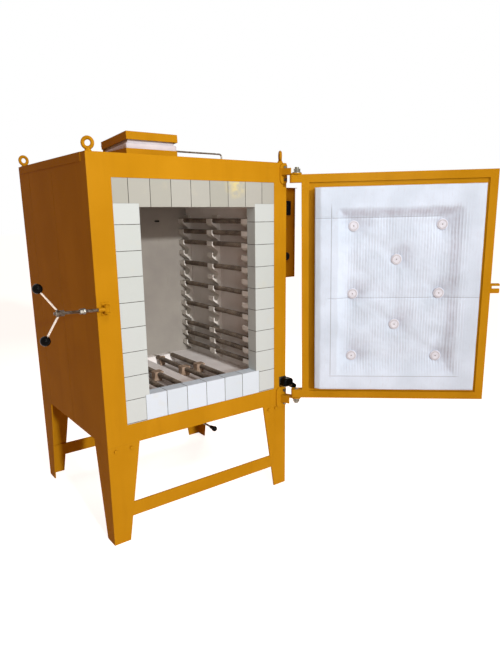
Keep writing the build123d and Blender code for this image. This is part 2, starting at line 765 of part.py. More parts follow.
def vent_fibre():
    inset = VENT_SHEET + FIT
    top = TOP_Z + VENT_COLLAR_H + VENT_FIBRE_RISE
    body = block(VENT_X + inset, VENT_X + VENT_W - inset, VENT_Y + inset, VENT_Y + VENT_D - inset,
                 TOP_Z + FIT, top + VENT_W / 2)
    body = fillet(body.edges().filter_by(Axis.Z), 4)
    above = block(VENT_X - VENT_W, VENT_X + 2 * VENT_W, VENT_Y - VENT_D, VENT_Y + 2 * VENT_D, top, top + VENT_W)
    return body - vent_hole(TOP_Z - 1, top + VENT_W) - lid_tilted(above)


def lid_axis_point():
    lid_z = TOP_Z + VENT_COLLAR_H + VENT_FIBRE_RISE + LID_GAP + LID_FIBRE_OUT
    return Vector(VENT_X, VENT_Y + VENT_D + LID_ROD_BACK, lid_z + LID_ROD_RISE)


def lid_tilted(shape):
    return shape.rotate(Axis(lid_axis_point(), Vector(-1, 0, 0)), LID_REST_ANGLE)


def lid_bottom():
    return lid_axis_point().Z - LID_ROD_RISE


def vent_lid():
    z0 = lid_bottom()
    front = VENT_Y - LID_OVERHANG
    back = VENT_Y + VENT_D - FIT
    body = block(VENT_X, VENT_X + VENT_W, front, back, z0, z0 + LID_H)
    body -= block(VENT_X + VENT_SHEET, VENT_X + VENT_W - VENT_SHEET, front + VENT_SHEET,
                  back - VENT_SHEET, z0 - 1, z0 + LID_H - VENT_SHEET)
    axis = lid_axis_point()
    inner = LID_EAR_INSET + LID_EAR_T + 2
    for x in (VENT_X + inner, VENT_X + VENT_W - inner - LID_LUG_W):
        far = x + LID_LUG_W
        lid_lug = block(x, far, back - 1, axis.Y, axis.Z - LID_LUG_T, axis.Z + LID_ROD_R)
        body += lid_lug + round_bar((x, axis.Y, axis.Z), (far, axis.Y, axis.Z), LID_ROD_R + LID_LUG_WALL)
    body -= round_bar((VENT_X, axis.Y, axis.Z), (VENT_X + VENT_W, axis.Y, axis.Z), LID_ROD_R + FIT / 6)
    return lid_tilted(body)


def lid_fibre():
    z0 = lid_bottom() - LID_FIBRE_OUT
    inset = LID_FIBRE_INSET
    body = block(VENT_X + inset, VENT_X + VENT_W - inset, VENT_Y + inset, VENT_Y + VENT_D - inset,
                 z0, lid_bottom() + LID_H - VENT_SHEET - FIT)
    body = fillet(body.edges().filter_by(Axis.Z), 5)
    return lid_tilted(body)


def lid_rod():
    axis = lid_axis_point()
    near = VENT_X + LID_ROD_IN
    far = CASE_W + LEVER_OUT
    path = FilletPolyline((near, axis.Y, axis.Z), (far, axis.Y, axis.Z),
                          (far, axis.Y, axis.Z - LEVER_L), radius=LID_ROD_BEND)
    start = Plane(origin=(near, axis.Y, axis.Z), z_dir=(1, 0, 0))
    return lid_tilted(sweep(start * Circle(LID_ROD_R), path=path))


def inlet_duct():
    half = DUCT_W / 2
    inner = half - DUCT_SHEET
    body = block(DUCT_X - half, DUCT_X + half, DUCT_Y - half, DUCT_Y + half, -DUCT_H, 0)
    body -= block(DUCT_X - inner, DUCT_X + inner, DUCT_Y - inner, DUCT_Y + inner, -DUCT_H - 1, 1)
    slot = DAMPER_T / 2 + 0.5
    body -= block(DUCT_X - inner, DUCT_X + inner, DUCT_Y - half - 1, DUCT_Y - inner + 1,
                  -DAMPER_DROP - slot, -DAMPER_DROP + slot)
    front = DUCT_Y - half - DAMPER_TRAVEL
    for side in (-1, 1):
        outer = DUCT_X + side * half
        wall = sorted((outer, outer - side * RAIL_T))
        rail = block(wall[0], wall[1], front, DUCT_Y - half, -DAMPER_DROP - slot - RAIL_T, 0)
        foot = sorted((outer, outer - side * RAIL_W))
        rail += block(foot[0], foot[1], front, DUCT_Y + half - DUCT_SHEET - 1,
                      -DAMPER_DROP - slot - RAIL_T, -DAMPER_DROP - slot)
        body += rail
    return body


def damper():
    half = DUCT_W / 2 - DUCT_SHEET - 0.5
    z = -DAMPER_DROP
    ear_y = DUCT_Y - DUCT_W / 2 - DAMPER_PLATE_OUT
    width, thick, height = DAMPER_EAR
    plate = block(DUCT_X - half, DUCT_X + half, ear_y, DUCT_Y + half, z - DAMPER_T / 2, z + DAMPER_T / 2)
    ear = block(DUCT_X - width / 2, DUCT_X + width / 2, ear_y - thick, ear_y,
                z - height / 2, z + height / 2)
    rod = round_bar((DUCT_X, -DAMPER_KNOB_OUT, z), (DUCT_X, ear_y - thick / 2, z), DAMPER_ROD_R)
    return plate + ear + rod


def damper_knob():
    z = -DAMPER_DROP
    y = -DAMPER_KNOB_OUT
    ball = Pos(DUCT_X, y, z) * Sphere(DAMPER_KNOB_R)
    neck_l = DAMPER_KNOB_R * 2.1
    neck = Cone(DAMPER_KNOB_R * 0.86, DAMPER_KNOB_R * 0.56, neck_l,
                align=(Align.CENTER, Align.CENTER, Align.MIN))
    body = ball + Plane(origin=(DUCT_X, y + DAMPER_KNOB_R * 0.5, z), z_dir=(0, 1, 0)) * neck
    return body - round_bar((DUCT_X, y, z), (DUCT_X, y + 2 * neck_l, z), DAMPER_ROD_R + RUNNING)


def terminal_cover():
    x0 = (CASE_W - TERMINAL_W) / 2
    x1 = x0 + TERMINAL_W
    z0 = TERMINAL_Z
    z1 = TERMINAL_Z + TERMINAL_H
    outer = CASE_D + TERMINAL_D
    body = block(x0, x1, CASE_D, outer, z0, z1)
    body -= block(x0 + SHEET, x1 - SHEET, CASE_D - 1, outer - SHEET, z0 + SHEET, z1 - SHEET)
    pitch = (TERMINAL_W - 2 * SLOT_MARGIN_X) / SLOT_COUNT
    for row in (z0 + SLOT_MARGIN_Z, z1 - SLOT_MARGIN_Z - SLOT_H):
        for i in range(SLOT_COUNT):
            x = x0 + SLOT_MARGIN_X + (i + 0.5) * pitch - SLOT_W / 2
            body -= block(x, x + SLOT_W, outer - SHEET - 1, outer + 1, row, row + SLOT_H)
    return body


# Control box
def control_box():
    x0 = CASE_W
    z1 = BOX_Z + BOX_H
    y1 = BOX_Y + BOX_D
    body = block(x0, BOX_X1, BOX_Y, y1, BOX_Z, z1)
    body -= block(x0 + BOX_SHEET, BOX_X1 - BOX_SHEET, BOX_Y - 1, y1 - BOX_SHEET,
                  BOX_Z + BOX_SHEET, z1 - BOX_SHEET)
    body += block(x0, BOX_X1, BOX_Y - BOX_HOOD, BOX_Y, z1 - BOX_SHEET, z1)
    x = BOX_MID
    return body - round_bar((x, GLAND_Y, BOX_Z - 1), (x, GLAND_Y, BOX_Z + BOX_SHEET + 1), GLAND_R * 0.8)


def control_panel():
    gap = BOX_SHEET + FIT
    body = block(CASE_W + gap, BOX_X1 - gap, PANEL_Y, PANEL_Y + BOX_SHEET, BOX_Z + gap,
                 BOX_Z + BOX_H - gap)
    middle = CONTROLLER_Z + CONTROLLER_SIDE / 2
    half = CONTROLLER_BODY / 2 + FIT
    body -= block(BOX_MID - half, BOX_MID + half, PANEL_Y - 1, PANEL_Y + 9, middle - half, middle + half)
    body -= block(BOX_MID - ROCKER_W / 2 - FIT, BOX_MID + ROCKER_W / 2 + FIT, PANEL_Y - 1, PANEL_Y + 9,
                  ROCKER_Z - ROCKER_H / 2 - FIT, ROCKER_Z + ROCKER_H / 2 + FIT)
    body -= round_bar((BOX_MID, PANEL_Y - 1, KNOB_Z), (BOX_MID, PANEL_Y + 9, KNOB_Z), KNOB_SHAFT_R + 0.06)
    lamp = round_bar((BOX_MID, PANEL_Y - 3, LAMP_Z), (BOX_MID, PANEL_Y + 1, LAMP_Z), LAMP_R)
    bezel_w = ROCKER_W / 2 + ROCKER_BEZEL
    bezel_h = ROCKER_H / 2 + ROCKER_BEZEL
    bezel = block(BOX_MID - bezel_w, BOX_MID + bezel_w, PANEL_Y - ROCKER_BEZEL, PANEL_Y + 1,
                  ROCKER_Z - bezel_h, ROCKER_Z + bezel_h)
    bezel -= block(BOX_MID - ROCKER_W / 2 - FIT, BOX_MID + ROCKER_W / 2 + FIT, PANEL_Y - 9, PANEL_Y + 9,
                   ROCKER_Z - ROCKER_H / 2 - FIT, ROCKER_Z + ROCKER_H / 2 + FIT)
    return body + lamp + bezel


def key_x(index):
    return BOX_MID + (index - 1.5) * (KEY_W + KEY_GAP)


def controller():
    half = CONTROLLER_SIDE / 2
    middle = CONTROLLER_Z + half
    front = PANEL_Y - CONTROLLER_BEZEL
    bezel = block(BOX_MID - half, BOX_MID + half, front, PANEL_Y - FIT, middle - half, middle + half)
    bezel = fillet(bezel.edges().filter_by(Axis.Y), 3)
    core = CONTROLLER_BODY / 2
    body = bezel + block(BOX_MID - core, BOX_MID + core, PANEL_Y - 1, PANEL_Y + CONTROLLER_DEPTH,
                         middle - core, middle + core)
    body -= block(BOX_MID - half + 6, BOX_MID + half - 6, front - 1, front + 1.5,
                  CONTROLLER_Z + 28, CONTROLLER_Z + CONTROLLER_SIDE - 7)
    for index in range(4):
        x = key_x(index)
        w = KEY_W / 2 + KEY_CLEAR
        h = KEY_H / 2 + KEY_CLEAR
        z = CONTROLLER_Z + KEY_RISE
        body -= block(x - w, x + w, front - 1, front + 5, z - h, z + h)
    return body


def controller_key(index):
    front = PANEL_Y - CONTROLLER_BEZEL
    x = key_x(index)
    z = CONTROLLER_Z + KEY_RISE
    body = block(x - KEY_W / 2, x + KEY_W / 2, front - KEY_OUT, front + 3.5, z - KEY_H / 2, z + KEY_H / 2)
    return fillet(body.edges().group_by(Axis.Y)[0], 0.8)


def power_rocker():
    half = ROCKER_H / 2
    front = PANEL_Y - ROCKER_BEZEL
    body = block(BOX_MID - ROCKER_W / 2, BOX_MID + ROCKER_W / 2, front - ROCKER_OUT, PANEL_Y + ROCKER_DEPTH,
                 ROCKER_Z - half, ROCKER_Z + half)
    pivot_y = PANEL_Y + ROCKER_PIVOT_BACK
    turned = body.rotate(Axis((BOX_MID, pivot_y, ROCKER_Z), (1, 0, 0)), ROCKER_TILT)
    reach = block(BOX_MID - ROCKER_W / 2, BOX_MID + ROCKER_W / 2, front - 5, pivot_y + 5,
                  ROCKER_Z - half + ROCKER_TRIM, ROCKER_Z + half - ROCKER_TRIM)
    bore = round_bar((BOX_MID - ROCKER_W, pivot_y, ROCKER_Z), (BOX_MID + ROCKER_W, pivot_y, ROCKER_Z),
                     ROCKER_PIVOT_R)
    return (turned & reach) - bore


def setting_knob():
    y = PANEL_Y - 1.0
    grip = round_bar((BOX_MID, y, KNOB_Z), (BOX_MID, y - KNOB_H, KNOB_Z), KNOB_R)
    grip = chamfer(grip.edges().group_by(Axis.Y)[0], 2)
    mark = block(BOX_MID - 1, BOX_MID + 1, y - KNOB_H - 1, y - KNOB_H + 1.2, KNOB_Z + 4, KNOB_Z + KNOB_R + 1)
    shaft = round_bar((BOX_MID, y - 1, KNOB_Z), (BOX_MID, PANEL_Y + 12, KNOB_Z), KNOB_SHAFT_R)
    return grip - mark + shaft


def cable_gland():
    x = BOX_MID
    nut = hex_nut((x, GLAND_Y, BOX_Z), (0, 0, -1), GLAND_R * 1.15, 7)
    dome = round_bar((x, GLAND_Y, BOX_Z - 7), (x, GLAND_Y, BOX_Z - 22), GLAND_R)
    dome = fillet(dome.edges().group_by(Axis.Z)[0], 3)
    body = nut + dome + round_bar((x, GLAND_Y, BOX_Z - 1), (x, GLAND_Y, BOX_Z + 10), GLAND_R * 0.79)
    return body - round_bar((x, GLAND_Y, BOX_Z - 30), (x, GLAND_Y, BOX_Z + 20), GLAND_R * 0.5)


# Door switch
def lug_sweep():
    across = LUG_OUT - HINGE_BEYOND - LUG_CORNER
    along = LUG_D / 2 - LUG_CORNER
    return math.hypot(across, along) + LUG_CORNER


def sensor_tip():
    return HINGE_Y + lug_sweep() + SENSOR_GAP


def door_switch():
    body = block(SWITCH_X0, SWITCH_X1, -SWITCH_OUT, -SWITCH_PLATE_T, SWITCH_Z, SWITCH_Z + SWITCH_H)
    body = fillet(body.edges().filter_by(Axis.Y).group_by(Axis.Z)[-1], SWITCH_DOME)
    body = fillet(body.edges().group_by(Axis.Y)[0], SWITCH_EDGE)
    boss_r = SENSOR_R + SENSOR_WALL
    front = sensor_tip() + SENSOR_OUT
    body += round_bar((SENSOR_X, front, SENSOR_Z), (SENSOR_X, -SENSOR_BACK, SENSOR_Z), boss_r)
    body += block(SWITCH_X1 - SWITCH_DOME - SENSOR_WALL, SENSOR_X, front, -SENSOR_BACK, SWITCH_Z,
                  SENSOR_Z + boss_r + SENSOR_WALL)
    depth = sensor_tip() + SENSOR_L
    return body - round_bar((SENSOR_X, front - 1, SENSOR_Z), (SENSOR_X, depth, SENSOR_Z),
                            SENSOR_R + RUNNING)


def switch_bracket():
    x0 = SWITCH_X0 - SWITCH_PLATE_T
    foot = block(x0, CASE_W, -SWITCH_PLATE_T, 0, SWITCH_Z - SWITCH_FOOT_BELOW,
                 SWITCH_Z + SWITCH_H + SWITCH_FOOT_ABOVE)
    shelf = block(x0, SWITCH_X1 - SENSOR_BACK, -SWITCH_OUT, 0, SWITCH_Z - SWITCH_PLATE_T, SWITCH_Z)
    return foot + shelf


def switch_sensor():
    tip = sensor_tip()
    body = round_bar((SENSOR_X, tip + SENSOR_L, SENSOR_Z), (SENSOR_X, tip, SENSOR_Z), SENSOR_R)
    return fillet(body.edges().group_by(Axis.Y)[0], SENSOR_R / 3)


# Door
def door_open(shape):
    foot = hinge_point(DOOR_Z0)
    head = hinge_point(DOOR_Z1)
    return shape.rotate(Axis(foot, head - foot), DOOR_OPEN_ANGLE)


def lug(z0, z1):
    w = LUG_WALL
    body = block(DOOR_X1, DOOR_X1 + LUG_OUT, DOOR_Y1 - LUG_D, DOOR_Y1, z0, z1)
    body = fillet(body.edges().filter_by(Axis.Z).group_by(Axis.X)[-1], LUG_CORNER)
    hollow = block(DOOR_X1 - 1, HINGE_X - HINGE_BOLT_R - w, DOOR_Y1 - LUG_D + w, DOOR_Y1 - w,
                   z0 + w, z1 - w)
    return body - hollow - round_bar(hinge_point(z0 - 1), hinge_point(z1 + 1), HINGE_BOLT_R + RUNNING)


def door_frame():
    body = block(DOOR_X0, DOOR_X1, DOOR_Y0 + DOOR_SHEET + FIT, DOOR_Y1, DOOR_Z0, DOOR_Z1)
    t = DOOR_SHEET
    body -= block(DOOR_X0 + t, DOOR_X1 - t, DOOR_Y0, DOOR_Y1 - RIM_STEP - t, DOOR_Z0 + t, DOOR_Z1 - t)
    o = RIM_OUTER
    body -= block(DOOR_X0 + o, DOOR_X1 - o, DOOR_Y1 - RIM_STEP, DOOR_Y1 + 1, DOOR_Z0 + o, DOOR_Z1 - o)
    behind = o - t
    body -= block(DOOR_X0 + t, DOOR_X0 + behind, DOOR_Y0, DOOR_Y1 - t, DOOR_Z0 + t, DOOR_Z1 - t)
    body -= block(DOOR_X1 - behind, DOOR_X1 - t, DOOR_Y0, DOOR_Y1 - t, DOOR_Z0 + t, DOOR_Z1 - t)
    i = RIM_OUTER + RIM_INNER
    body -= block(DOOR_X0 + i, DOOR_X1 - i, DOOR_Y0, DOOR_Y1 + 1, DOOR_Z0 + i, DOOR_Z1 - i)
    body += lug(DOOR_Z1 - LUG_TOP_H, DOOR_Z1)
    body += lug(DOOR_Z0, DOOR_Z0 + LUG_BOTTOM_H)
    return door_open(body)


def door_skin():
    body = block(DOOR_X0, DOOR_X1, DOOR_Y0, DOOR_Y0 + DOOR_SHEET, DOOR_Z0, DOOR_Z1)
    return door_open(body)


def rounded_section(x0, x1, z0, z1, y, radius):
    width = x1 - x0
    height = z1 - z0
    plane = Plane(origin=((x0 + x1) / 2, y, (z0 + z1) / 2), x_dir=(1, 0, 0), z_dir=(0, -1, 0))
    return plane * RectangleRounded(width, height, radius)


def door_x(a):
    return DOOR_X1 - a


def door_z(b):
    return DOOR_Z0 + b


def button_places():
    places = [(a, b) for a in BUTTON_COLUMNS for b in BUTTON_ROWS]
    return places + [(BUTTON_MID_X, b) for b in BUTTON_MID_ROWS]


def field_y():
    return -PAD_CLEAR - FIELD_DEPTH + BRICK_RECESS


def door_pad():
    i = RIM_OUTER + RIM_INNER + PAD_EDGE
    x0, x1 = DOOR_X0 + i, DOOR_X1 - i
    z0, z1 = DOOR_Z0 + i, DOOR_Z1 - i
    top = BRICK_RECESS - PAD_CLEAR
    low = DOOR_Y1 + 1
    root = rounded_section(x0, x1, z0, z1, DOOR_Y0 + DOOR_SHEET + FIT * 2, PAD_ROUND)
    waist = rounded_section(x0, x1, z0, z1, low, PAD_ROUND)
    body = loft([root, waist])
    e = PAD_BULGE
    swell = rounded_section(x0 - e, x1 + e, z0 - e, z1 + e, DOOR_Y1 + 18, PAD_ROUND + e)
    shoulder = rounded_section(x0 + e, x1 - e, z0 + e, z1 - e, top - 6, PAD_ROUND)
    crown = rounded_section(x0 + 5 * e, x1 - 5 * e, z0 + 5 * e, z1 - 5 * e, top, PAD_ROUND)
    body += loft([waist, swell], ruled=True) + loft([swell, shoulder], ruled=True)
    body += loft([shoulder, crown], ruled=True)
    left, right, bottom, upper = FIELD_MARGIN
    fx0, fx1, fz0, fz1 = x0 + right, x1 - left, z0 + bottom, z1 - upper
    outer = rounded_section(fx0, fx1, fz0, fz1, top + 0.5, 24)
    s = FIELD_SLOPE
    inner = rounded_section(fx0 + s[1], fx1 - s[0], fz0 + s[2], fz1 - s[3], field_y(), 18)
    body -= loft([outer, inner], ruled=True)
    for b in SEAM_ROWS:
        body -= block(fx0 + s[1] - 8, fx1 - s[0] + 8, field_y() - SEAM_DEPTH, 1,
                      door_z(b) - SEAM_W / 2, door_z(b) + SEAM_W / 2)
    for a, b in button_places():
        centre = (door_x(a), field_y() - BUTTON_SINK, door_z(b))
        dimple = Plane(origin=centre, z_dir=(0, 1, 0)) * Cone(
            BUTTON_R + 1, BUTTON_R + DIMPLE_FLARE, DIMPLE_H, align=(Align.CENTER, Align.CENTER, Align.MIN))
        body -= dimple
        body -= round_bar((centre[0], DOOR_Y0, centre[2]), (centre[0], 0, centre[2]), BUTTON_STUD_R + FIT)
    return door_open(body)


def pad_buttons():
    buttons = []
    for a, b in button_places():
        y = field_y() - BUTTON_SINK + FIT
        x = door_x(a)
        z = door_z(b)
        disc = round_bar((x, y, z), (x, y + BUTTON_T, z), BUTTON_R)
        disc = fillet(disc.edges().group_by(Axis.Y)[-1], BUTTON_T * 0.6)
        stud = round_bar((x, DOOR_Y0 + DOOR_SHEET + FIT, z), (x, y + 1, z), BUTTON_STUD_R)
        buttons.append(door_open(disc + stud))
    return Compound(buttons)


def door_fork():
    tip = DOOR_X0 - FORK_OUT
    root = DOOR_X0 - FORK_ROOT
    half = FORK_SLOT / 2
    top = CLAMP_Z + half + FORK_UPPER
    bottom = CLAMP_Z - half - FORK_LOWER
    body = block(tip, DOOR_X0, FORK_Y - FORK_T, FORK_Y, bottom, top)
    body = fillet(body.edges().filter_by(Axis.Y).group_by(Axis.X)[0], 5)
    body -= block(tip - 1, root, FORK_Y - FORK_T - 1, FORK_Y + 1, CLAMP_Z - half, CLAMP_Z + half)
    return door_open(body)


# Hinge arms and their bolts
def hinge_arm(plate, leg_z0, web_z0, web_z1, web_share):
    x0, x1, z0, z1 = plate
    leg_z1 = leg_z0 + ARM_LEG_T
    axis = hinge_point((leg_z0 + leg_z1) / 2)
    body = block(x0, x1, -ARM_PLATE_T, 0, z0, z1)
    body = fillet(body.edges().filter_by(Axis.Y).group_by(Axis.X)[0], ARM_INNER_CORNER)
    body = fillet(body.edges().filter_by(Axis.Y).group_by(Axis.X)[-1], ARM_OUTER_CORNER)
    root = x1 - ARM_ROOT
    leg_points = [(root, 0), (x1, 0), (axis.X + ARM_END_R, axis.Y), (axis.X - ARM_END_R, axis.Y)]
    body += slab_z(leg_points, leg_z0, leg_z1)
    body += round_bar((axis.X, axis.Y, leg_z0), (axis.X, axis.Y, leg_z1), ARM_END_R)
    end_x = root + (axis.X - ARM_END_R - root) * web_share
    end_y = axis.Y * web_share
    web_points = [(root, 0), (root + ARM_WEB_T, 0), (end_x + ARM_WEB_T, end_y), (end_x, end_y)]
    body += slab_z(web_points, web_z0, web_z1)
    return body - round_bar(hinge_point(leg_z0 - 1), hinge_point(leg_z1 + 1), HINGE_BOLT_R)


def hinge_arm_top():
    z = DOOR_Z1 + ARM_GAP
    return hinge_arm(ARM_TOP_PLATE, z, z, z + ARM_LEG_T + ARM_TOP_WEB_H, ARM_TOP_WEB_SHARE)


def hinge_arm_bottom():
    z = DOOR_Z0 - ARM_GAP - ARM_LEG_T
    return hinge_arm(ARM_BOTTOM_PLATE, z, z - ARM_BOTTOM_WEB_H, z + ARM_LEG_T, ARM_BOTTOM_WEB_SHARE)


def hinge_bolt(lug_far, arm_near, side):
    far_face = arm_near + side * ARM_LEG_T
    start = hinge_point(lug_far)
    end = hinge_point(far_face + side * (WASHER_T + NUT_H + HINGE_THREAD_END))
    axis = (end - start).normalized()
    bolt = round_bar(start, end, HINGE_BOLT_R - 0.02)
    tip = hinge_point(far_face + side * FIT)
    bolt += Solid.make_cylinder(WASHER_R, WASHER_T, Plane(origin=tip, z_dir=axis))
    seat = hinge_point(far_face + side * (FIT + WASHER_T))
    return bolt + Plane(origin=seat, z_dir=axis) * extrude(RegularPolygon(NUT_R, 6), NUT_H)


def plate_bolts():
    heads = []
    for plate in (ARM_TOP_PLATE, ARM_BOTTOM_PLATE):
        for z in (plate[2] + ARM_BOLT_ENDS, plate[3] - ARM_BOLT_ENDS):
            centre = (CASE_W - ARM_BOLT_INSET, -ARM_PLATE_T, z)
            heads.append(hex_nut(centre, (0, -1, 0), ARM_BOLT_R * 1.8, ARM_BOLT_R * 1.2))
    return heads


def hinge_bolts():
    top = hinge_bolt(DOOR_Z1 - LUG_TOP_H, DOOR_Z1 + ARM_GAP, 1)
    bottom = hinge_bolt(DOOR_Z0 + LUG_BOTTOM_H, DOOR_Z0 - ARM_GAP, -1)
    return Compound([top, bottom] + plate_bolts())


# Swing clamp, drawn closed along -y and swung back to its rest
def clamp_rest(shape):
    pivot = Vector(CLAMP_X, -CLAMP_OUT, CLAMP_Z)
    return shape.rotate(Axis(pivot, Vector(0, 0, 1)), -CLAMP_REST_SWING)


def on_clamp(distance):
    return (CLAMP_X, -CLAMP_OUT - distance, CLAMP_Z)


def clamp_bracket():
    half = CLAMP_EAR_W / 2
    body = block(CLAMP_X - half - 3, CLAMP_X + half + 3, -CLAMP_BASE_T, 0,
                 CLAMP_Z - CLAMP_BASE_H / 2, CLAMP_Z + CLAMP_BASE_H / 2)
    for side in (-1, 1):
        near = CLAMP_Z + side * CLAMP_EAR_GAP / 2
        low, high = sorted((near, near + side * CLAMP_EAR_T))
        ear = block(CLAMP_X - half, CLAMP_X + half, -CLAMP_OUT, 0, low, high)
        body += ear + round_bar((CLAMP_X, -CLAMP_OUT, low), (CLAMP_X, -CLAMP_OUT, high), half)
    pin_half = CLAMP_EAR_GAP / 2 + CLAMP_EAR_T + 4
    return body + round_bar((CLAMP_X, -CLAMP_OUT, CLAMP_Z - pin_half),
                            (CLAMP_X, -CLAMP_OUT, CLAMP_Z + pin_half), CLAMP_PIN_R)


def clamp_trunnion():
    half = CLAMP_EAR_GAP / 2 - FIT
    pivot = on_clamp(0)
    body = round_bar((pivot[0], pivot[1], CLAMP_Z - half), (pivot[0], pivot[1], CLAMP_Z + half), TRUNNION_R)
    body += round_bar(pivot, on_clamp(TRUNNION_BOSS_L), TRUNNION_BOSS_R)
    body -= round_bar((pivot[0], pivot[1], CLAMP_Z - half - 1), (pivot[0], pivot[1], CLAMP_Z + half + 1),
                      CLAMP_PIN_R + RUNNING)
    body -= round_bar(on_clamp(CLAMP_PIN_R + 6), on_clamp(TRUNNION_BOSS_L + 5), SPINDLE_R + RUNNING)
    return clamp_rest(body)


def clamp_collar():
    body = round_bar(on_clamp(COLLAR_START), on_clamp(COLLAR_START + COLLAR_L * 0.35), COLLAR_R)
    body += hex_nut(on_clamp(COLLAR_START + COLLAR_L * 0.35), (0, -1, 0), COLLAR_R * 0.92, COLLAR_L * 0.65)
    body -= round_bar(on_clamp(COLLAR_START - 5), on_clamp(COLLAR_START + COLLAR_L + 5),
                      SPINDLE_R + RUNNING)
    return clamp_rest(body)


def clamp_spindle():
    body = round_bar(on_clamp(SPINDLE_START), on_clamp(HUB_START + HUB_L + 8), SPINDLE_R)
    after = COLLAR_START + COLLAR_L + FIT
    body += round_bar(on_clamp(after), on_clamp(after + SHOULDER_L), SHOULDER_R)
    before = COLLAR_START - FIT
    body += round_bar(on_clamp(before - SHOULDER_L / 2), on_clamp(before), SHOULDER_R)
    hub = round_bar(on_clamp(HUB_START), on_clamp(HUB_START + HUB_L), HUB_R)
    body += chamfer(hub.edges(), 1.5)
    for ball in ball_centres():
        body += round_bar(on_clamp(HUB_MIDDLE), ball, HANDLE_R)
    return clamp_rest(body)


def ball_centres():
    centres = []
    out = math.cos(math.radians(HANDLE_ANGLE)) * HANDLE_L
    side = math.sin(math.radians(HANDLE_ANGLE)) * HANDLE_L
    for sign in (1, -1):
        x = CLAMP_X - sign * side * math.sin(math.radians(HANDLE_TURN))
        z = CLAMP_Z + sign * side * math.cos(math.radians(HANDLE_TURN))
        centres.append((x, -CLAMP_OUT - HUB_MIDDLE - out, z))
    return centres


def clamp_balls():
    balls = []
    for centre in ball_centres():
        ball = Pos(*centre) * Sphere(BALL_R)
        ball -= round_bar(on_clamp(HUB_MIDDLE), centre, HANDLE_R)
        balls.append(clamp_rest(ball))
    return Compound(balls)


NODES = {
    "front_frame": front_frame,
    "left_panel": left_panel,
    "right_panel": right_panel,
    "back_panel": back_panel,
    "top_cover": top_cover,
    "bottom_tray": bottom_tray,
    "leg_front_left": lambda: leg(*corners()[0]),
    "leg_front_right": lambda: leg(*corners()[1]),
    "leg_rear_left": lambda: leg(*corners()[2]),
    "leg_rear_right": lambda: leg(*corners()[3]),
    "leg_stretchers": lambda: Compound([front_stretcher(), rear_stretcher()]),
    "leg_bolts": leg_bolts,
    "facing_columns": lambda: Compound([facing_left(), facing_right()]),
    "facing_lintel": facing_lintel,
    "facing_sill": facing_sill,
    "lining_boards": lambda: Compound(lining_sides() + [lining_roof()]),
    "lining_back": lining_back,
    "hearth": hearth,
    "backup_insulation": backup_insulation,
    "holders_left": lambda: holders(ROOM_X0, 1),
    "holders_right": lambda: holders(ROOM_X1, -1),
    "heating_elements": lambda: Compound(side_elements() + floor_elements()),
    "element_saddles": element_saddles,
    "thermocouple": thermocouple,
    "lifting_eyes": lifting_eyes,
    "vent_collar": vent_collar,
    "vent_fibre": vent_fibre,
    "vent_lid": vent_lid,
    "lid_fibre": lid_fibre,
    "lid_rod": lid_rod,
    "inlet_duct": inlet_duct,
    "damper": damper,
    "damper_knob": damper_knob,
    "terminal_cover": terminal_cover,
    "control_box": control_box,
    "control_panel": control_panel,
    "controller": controller,
    "controller_key_1": lambda: controller_key(0),
    "controller_key_2": lambda: controller_key(1),
    "controller_key_3": lambda: controller_key(2),
    "controller_key_4": lambda: controller_key(3),
    "power_rocker": power_rocker,
    "setting_knob": setting_knob,
    "cable_gland": cable_gland,
    "door_switch": door_switch,
    "switch_bracket": switch_bracket,
    "switch_sensor": switch_sensor,
    "door_frame": door_frame,
    "door_skin": door_skin,
    "door_pad": door_pad,
    "pad_buttons": pad_buttons,
    "door_fork": door_fork,
    "hinge_arms": lambda: Compound([hinge_arm_top(), hinge_arm_bottom()]),
    "hinge_bolts": hinge_bolts,
    "clamp_bracket": clamp_bracket,
    "clamp_trunnion": clamp_trunnion,
    "clamp_collar": clamp_collar,
    "clamp_spindle": clamp_spindle,
    "clamp_balls": clamp_balls,
}


def build_all():
    shapes = {name: make() for name, make in NODES.items()}
    return shapes


def footprint_shift(shapes):
    boxes = [shape.bounding_box() for shape in shapes.values()]
    low_x = min(box.min.X for box in boxes)
    high_x = max(box.max.X for box in boxes)
    low_y = min(box.min.Y for box in boxes)
    high_y = max(box.max.Y for box in boxes)
    low_z = min(box.min.Z for box in boxes)
    return Vector(-(low_x + high_x) / 2, -(low_y + high_y) / 2, -low_z)


def main():
    os.makedirs("parts", exist_ok=True)
    shapes = build_all()
    shift = footprint_shift(shapes)
    for name, shape in shapes.items():
        export_step(Pos(shift) * shape, f"parts/{name}.step")
    print("moved by", round(shift.X, 4), round(shift.Y, 4), round(shift.Z, 4))


main()
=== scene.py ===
import json
import math
import random

import bpy
from mathutils import Matrix, Vector, noise


